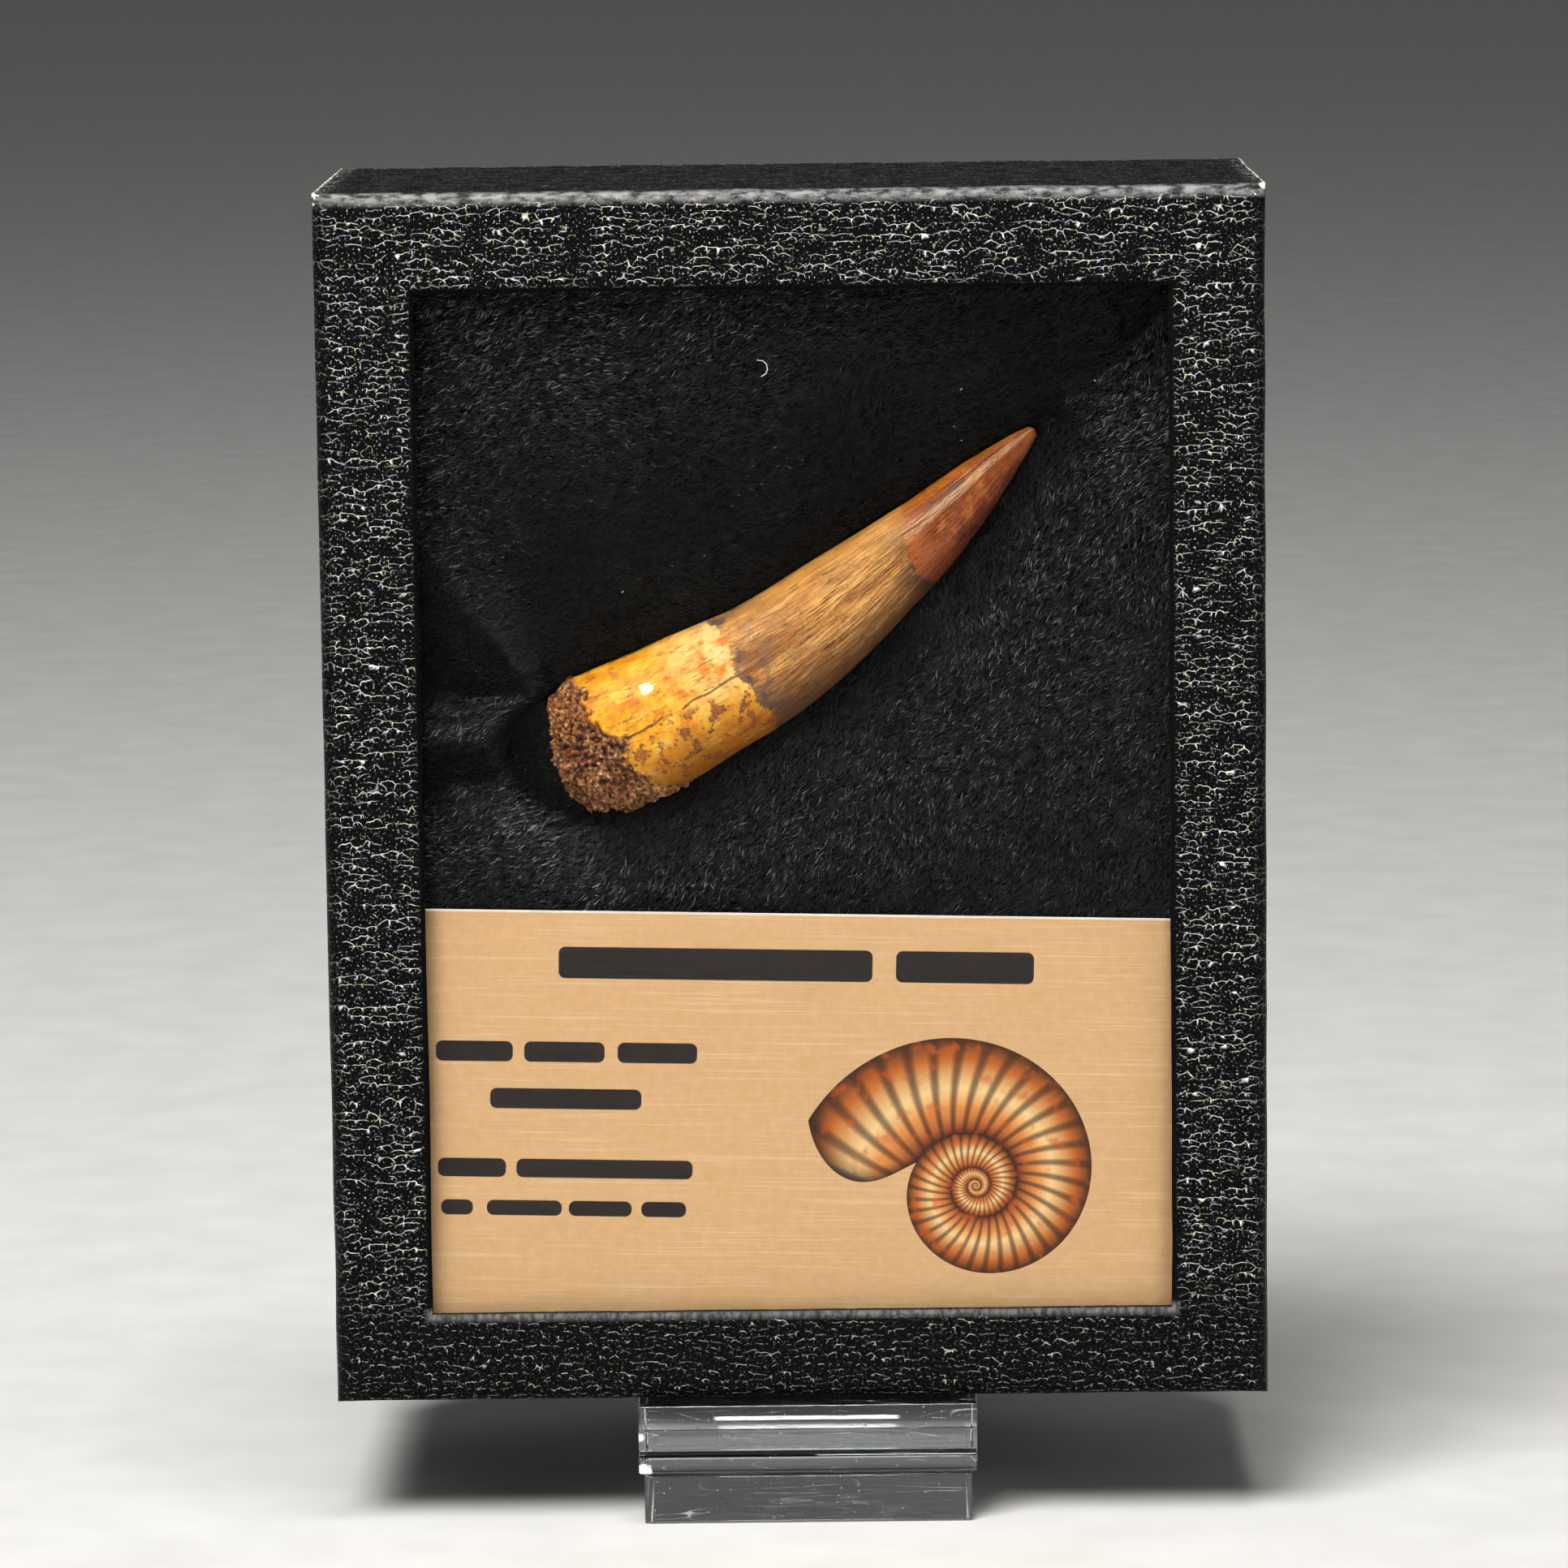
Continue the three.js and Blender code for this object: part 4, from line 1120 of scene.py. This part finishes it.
# Printed bars in place of words: left, right, height of the middle and half thickness.
PRINT_BARS = [
    (-28.0, 8.2, 19.4, 1.85), (10.9, 26.8, 19.4, 1.85),
    (-42.1, -33.2, 8.9, 1.2), (-31.9, -22.6, 8.9, 1.2), (-21.1, -11.9, 8.9, 1.2),
    (-35.8, -18.3, 3.4, 1.2),
    (-41.8, -33.9, -4.8, 1.1), (-32.7, -12.3, -4.8, 1.1),
    (-41.4, -37.7, -9.5, 0.9), (-36.1, -27.4, -9.5, 0.9), (-26.6, -19.3, -9.5, 0.9),
    (-18.2, -13.0, -9.5, 0.9),
]
SHELL_CENTRE = (20.5, -6.2)
SHELL_RADIUS = 13.2
SHELL_GROWTH = 0.165
SHELL_RIBS = 34


def linen_card():
    """Offset-printed card with a linen emboss: flat ink over a fine woven relief."""
    material, node, shader = new_material("printed_linen_card")
    local = node("Mapping", {
        "Vector": node("TexCoord").outputs["Object"],
        "Location": CARD_CENTRE, "Rotation": (0, CARD_TURN, 0), "Scale": (MM,) * 3,
    }, vector_type="TEXTURE")
    spot = node("SeparateXYZ", local)
    x, z = spot.outputs["X"], spot.outputs["Z"]

    # Linen threads, the level ones stronger. The wave node counts 20 radians to a unit.
    uneven = node("TexNoise", {"Vector": local, "Scale": 0.9, "Detail": 3.0})
    rows, columns = (
        node("TexWave", {"Vector": local, "Scale": 1 / spacing / 20 * 6.283, "Distortion": 1.2,
                         "Detail": 1.0, "Detail Scale": 2.0}, bands_direction=direction)
        for spacing, direction in ((0.3, "Z"), (0.34, "X"))
    )
    weave = node("+", rows, node("*", columns, 0.55))
    slub = node("TexNoise", {
        "Vector": node("Mapping", {"Vector": local, "Scale": (0.06, 1, 2.6)}), "Scale": 1.0,
        "Detail": 2.0,
    })
    paper = node("ValToRGB", {"Fac": uneven}, stops=[(0.3, "#d2a874"), (0.7, "#dab080")])
    paper = paint(node, paper,
        (node("MapRange", weave, 0.0, 1.55, 0.22, 0.0), "#c39767"),
        (node("MapRange", slub, 0.55, 0.7, 0.0, 0.35), "#eccca0"),
    )

    # Shell ornament: a spiral of ribbed whorls, in polar shares of a logarithmic spiral.
    dx = node("-", x, SHELL_CENTRE[0])
    dz = node("-", z, SHELL_CENTRE[1])
    radius = node("+", node("Math/POWER", dx, 2.0), node("Math/POWER", dz, 2.0))
    radius = node("Math/POWER", radius, 0.5)
    turn = node("Math/ARCTAN2", dz, dx)
    turn = node("Math/DIVIDE", turn, 2 * math.pi)
    grown = node("Math/LOGARITHM", node("Math/DIVIDE", radius, SHELL_RADIUS), math.e)
    grown = node("Math/DIVIDE", grown, 2 * math.pi * SHELL_GROWTH)
    whorl = node("-", grown, turn)
    across = node("Math/FRACT", whorl)
    index = node("Math/FLOOR", whorl)
    inside = node("Math/LESS_THAN", index, -0.5)
    inside = node("*", inside, node("Math/GREATER_THAN", index, -5.5))
    # The ribs are counted along the spiral, so that they run on from whorl to whorl, and
    # the mouth at the spiral's end is round.
    sweep = node("+", turn, index)
    mouth = node("Math/POWER", node("-", across, 0.5), 2.0)
    mouth = node("+", node("*", mouth, 0.22), sweep)
    inside = node("*", inside, node("Math/LESS_THAN", mouth, -0.503))
    sweep = node("+", sweep, node("*", across, 0.05))
    ribs = node("Math/SINE", node("*", sweep, 2 * math.pi * SHELL_RIBS))
    body = node("ValToRGB", {"Fac": across},
                stops=[(0.0, "#2b150c"), (0.1, "#8a3f14"), (0.4, "#d98b45"), (0.6, "#edc98c"),
                       (0.85, "#b9651f"), (1.0, "#3a1a0c")])
    shadow = node("MapRange", ribs, 0.2, -0.9, 0.0, 0.75)
    body = paint(node, body, (shadow, "#3d1f10"))
    mottle = node("TexNoise", {"Vector": local, "Scale": 0.55, "Detail": 4.0})
    body = paint(node, body,
        (node("MapRange", mottle, 0.55, 0.7, 0.0, 0.6), "#c4551a"),
        (node("MapRange", mouth, -0.53, -0.505, 0.0, 0.85), "#2b150c"),
    )
    # Painted shadow: the paper is darkened along its two sides, where the window frame shades it.
    side = node("MapRange", node("abs", x), 41.0, 43.4, 0.0, 0.5,
                interpolation_type="SMOOTHSTEP")
    paper = paint(node, paper, (side, "#8c643c"))
    print_tone = paint(node, paper, (inside, body))

    # Bars with round corners.
    ink = None
    for left, right, height, half in PRINT_BARS:
        corner = min(half, 0.8)
        off = node("VectorMath/SUBTRACT", local, ((left + right) / 2, 0, height))
        off = node("VectorMath/ABSOLUTE", off)
        off = node("VectorMath/SUBTRACT", off, ((right - left) / 2 - corner, 10, half - corner))
        off = node("VectorMath/MAXIMUM", off, (0, 0, 0))
        reach = node("VectorMath/LENGTH", off).outputs["Value"]
        bar = node("MapRange", reach, corner + 0.04, corner - 0.04)
        ink = bar if ink is None else node("max", ink, bar)
    print_tone = paint(node, print_tone, (ink, "#231a17"))
    # Along the top, a hair of paper is painted white: partly the white cut edge and unprinted paper,
    # partly a painted highlight where the edge catches light from above.
    brink = node("Math/GREATER_THAN", z, 25.2)
    print_tone = paint(node, print_tone, (brink, "#f3e9dc"))

    relief = node("+", weave, slub)
    bump = node("Bump", {"Height": relief, "Strength": 0.35, "Distance": 0.03 * MM})
    feed(shader, Base_Color=print_tone, Roughness=0.62, Normal=bump, Specular_IOR_Level=0.3)
    return material


# ------------------------------------------------------------------ clear pieces

def clear_sheet():
    """Thin clear film with an anti-glare coating: it mirrors almost nothing, so its index
    is set low and the black plush stays black behind it."""
    material, _, shader = new_material("coated_clear_film")
    feed(shader, Base_Color=colour("#ffffff"), Roughness=0.02, IOR=1.07,
         Transmission_Weight=1.0)
    return material


def cast_acrylic():
    """Flame-polished cast acrylic: glassy, with the fine scratches, scuffed corners and
    dust specks of a stand that has been handled. The marks scatter light, so they are
    where the sheet stops being clear."""
    material, node, shader = new_material("cast_acrylic")
    place = node("Mapping", {"Vector": node("TexCoord").outputs["Object"],
                             "Scale": (1 / MM,) * 3})

    def noise_at(scale, detail=2.0, turn=0.0, stretch=(1, 1, 1)):
        moved = node("Mapping", {"Vector": place, "Rotation": (0, turn, 0), "Scale": stretch})
        return node("TexNoise", {"Vector": moved, "Scale": scale, "Detail": detail})

    def line_at(scale, turn, stretch, width):
        """Long curved lines, where a smooth noise crosses its middle value."""
        off = node("-", noise_at(scale, 0.0, turn, stretch), 0.5)
        off = node("abs", off)
        return node("MapRange", off, width, width * 0.4)

    marks = 0.0
    for scale, turn, stretch, width in ((0.35, 0.75, (0.12, 1, 1), 0.006),
                                        (0.5, 0.5, (0.1, 1, 1), 0.005),
                                        (0.7, -0.6, (0.1, 1, 1), 0.004)):
        faded = node("MapRange", noise_at(0.22, 3.0, turn), 0.52, 0.66, 0.0, 0.3)
        scratch = node("*", line_at(scale, turn, stretch, width), faded)
        marks = node("max", marks, scratch)
    dust = node("TexVoronoi", {"Vector": place, "Scale": 0.9})
    speck = node("MapRange", dust.outputs["Distance"], 0.08, 0.05, 0.0, 0.45)
    marks = node("max", marks, speck)
    # The left corners are chipped.
    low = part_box("stand_rest")[0]
    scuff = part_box("stand_plate")[0]
    for x, z, reach in ((low[0] + 0.4 * MM, low[2] + 0.4 * MM, 1.5),
                        (scuff[0], scuff[2] + 1.8 * MM, 1.15)):
        off = node("VectorMath/SUBTRACT", place, (x / MM, low[1] / MM, z / MM))
        off = node("VectorMath/MULTIPLY", off, (0.75, 0.3, 1.1))
        off = node("VectorMath/LENGTH", off).outputs["Value"]
        off = node("+", off, noise_at(1.6, 4.0))
        chip = node("MapRange", off, reach, reach - 0.25, 0.0, 0.85)
        marks = node("max", marks, chip)
    clear = node("-", 1.0, marks)
    bump = node("Bump", {"Height": marks, "Strength": 0.6, "Distance": 0.03 * MM})
    rough = node("MapRange", marks, 0.0, 1.0, 0.015, 0.5)
    feed(shader, Base_Color=colour("#fbfdfd"), Roughness=rough, IOR=1.49,
         Transmission_Weight=clear, Normal=bump)
    return material


SHEET = 2.2 * MM
BEND_INSIDE = 1.5 * MM
STAND_CORNER = 6 * MM
POLISH_ROWS = 16


def make_stand(material):
    low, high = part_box("stand_rest")
    ledge = low[2] + SHEET / 2
    back = high[1] - SHEET / 2
    radius = BEND_INSIDE + SHEET / 2
    bm = bmesh.new()
    ends = [bm.verts.new((x, low[1], ledge)) for x in (low[0], high[0])]
    edge = bm.edges.new(ends)
    made = bmesh.ops.extrude_edge_only(bm, edges=[edge])["geom"]
    verts = [g for g in made if isinstance(g, bmesh.types.BMVert)]
    bmesh.ops.translate(bm, verts=verts, vec=(0, back - radius - low[1], 0))
    edge = next(g for g in made if isinstance(g, bmesh.types.BMEdge) and g.verts[0] in verts
                and g.verts[1] in verts)
    made = bmesh.ops.spin(bm, geom=[edge, *edge.verts], cent=(0, back - radius, ledge + radius),
                          axis=(1, 0, 0), angle=math.pi / 2, steps=8)["geom_last"]
    edge = next(g for g in made if isinstance(g, bmesh.types.BMEdge))
    made = bmesh.ops.extrude_edge_only(bm, edges=[edge])["geom"]
    verts = [g for g in made if isinstance(g, bmesh.types.BMVert)]
    bmesh.ops.translate(bm, verts=verts, vec=(0, 0, high[2] - ledge - radius))
    round_over(bm, verts, STAND_CORNER, 8, affect="VERTICES")
    bmesh.ops.recalc_face_normals(bm, faces=bm.faces)
    bmesh.ops.solidify(bm, geom=bm.faces[:], thickness=SHEET)
    bmesh.ops.recalc_face_normals(bm, faces=bm.faces)
    shift = Vector(low) - Vector([min(v.co[i] for v in bm.verts) for i in range(3)])
    bmesh.ops.translate(bm, verts=bm.verts, vec=shift)
    sharp = [e for e in bm.edges if e.calc_face_angle(0) > math.radians(50)]
    round_over(bm, sharp, 0.25 * MM, 3, clamp_overlap=True)
    finish_piece("stand_rest_clear", bm, [material], ["stand_rest"], smooth=False)

    polished_slab("stand_plate", material, 0.56 * MM, 0.5)
    polished_slab("stand_block", material, 0.12 * MM, 0.5)


def polished_slab(name, material, bulge, crown):
    """A slab whose sawn front edge was flame-polished, which leaves it slightly convex.
    The crown is the height share where it stands furthest out."""
    low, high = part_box(name)
    bm = bmesh.new()
    bmesh.ops.create_cube(bm, size=1, matrix=box_matrix(low, high))
    round_over(bm, bm.edges[:], 0.22 * MM, 3)
    for k in range(1, POLISH_ROWS):
        cut_across(bm, 2, low[2] + (high[2] - low[2]) * k / POLISH_ROWS)
    # Cuts beside the rounded ends keep the middle of each face straight.
    beside = Vector((0.3 * MM,) * 3)
    for axis in range(3):
        for at in (Vector(low) + beside, Vector(high) - beside):
            cut_across(bm, axis, at[axis])
    for vert in bm.verts:
        if vert.co.y < low[1] + 1 * MM:
            share = (vert.co.z - low[2]) / (high[2] - low[2])
            vert.co.y += bulge * ((share - crown) / max(crown, 1 - crown)) ** 2
    piece = finish_piece(name + "_clear", bm, [material], [name])
    piece.data.set_sharp_from_angle(angle=math.radians(30))


# ------------------------------------------------------------------ build

make_camera()
make_stage()
wrap = leatherette_paper()
make_lid(wrap)
make_tray(wrap)
make_tooth(fossil_enamel())
make_pad(plush_backing())
grow_pile(plush_fibre())
NODES["info_card"].material_slots[0].material = linen_card()
NODES["window_pane"].material_slots[0].material = clear_sheet()
make_stand(cast_acrylic())
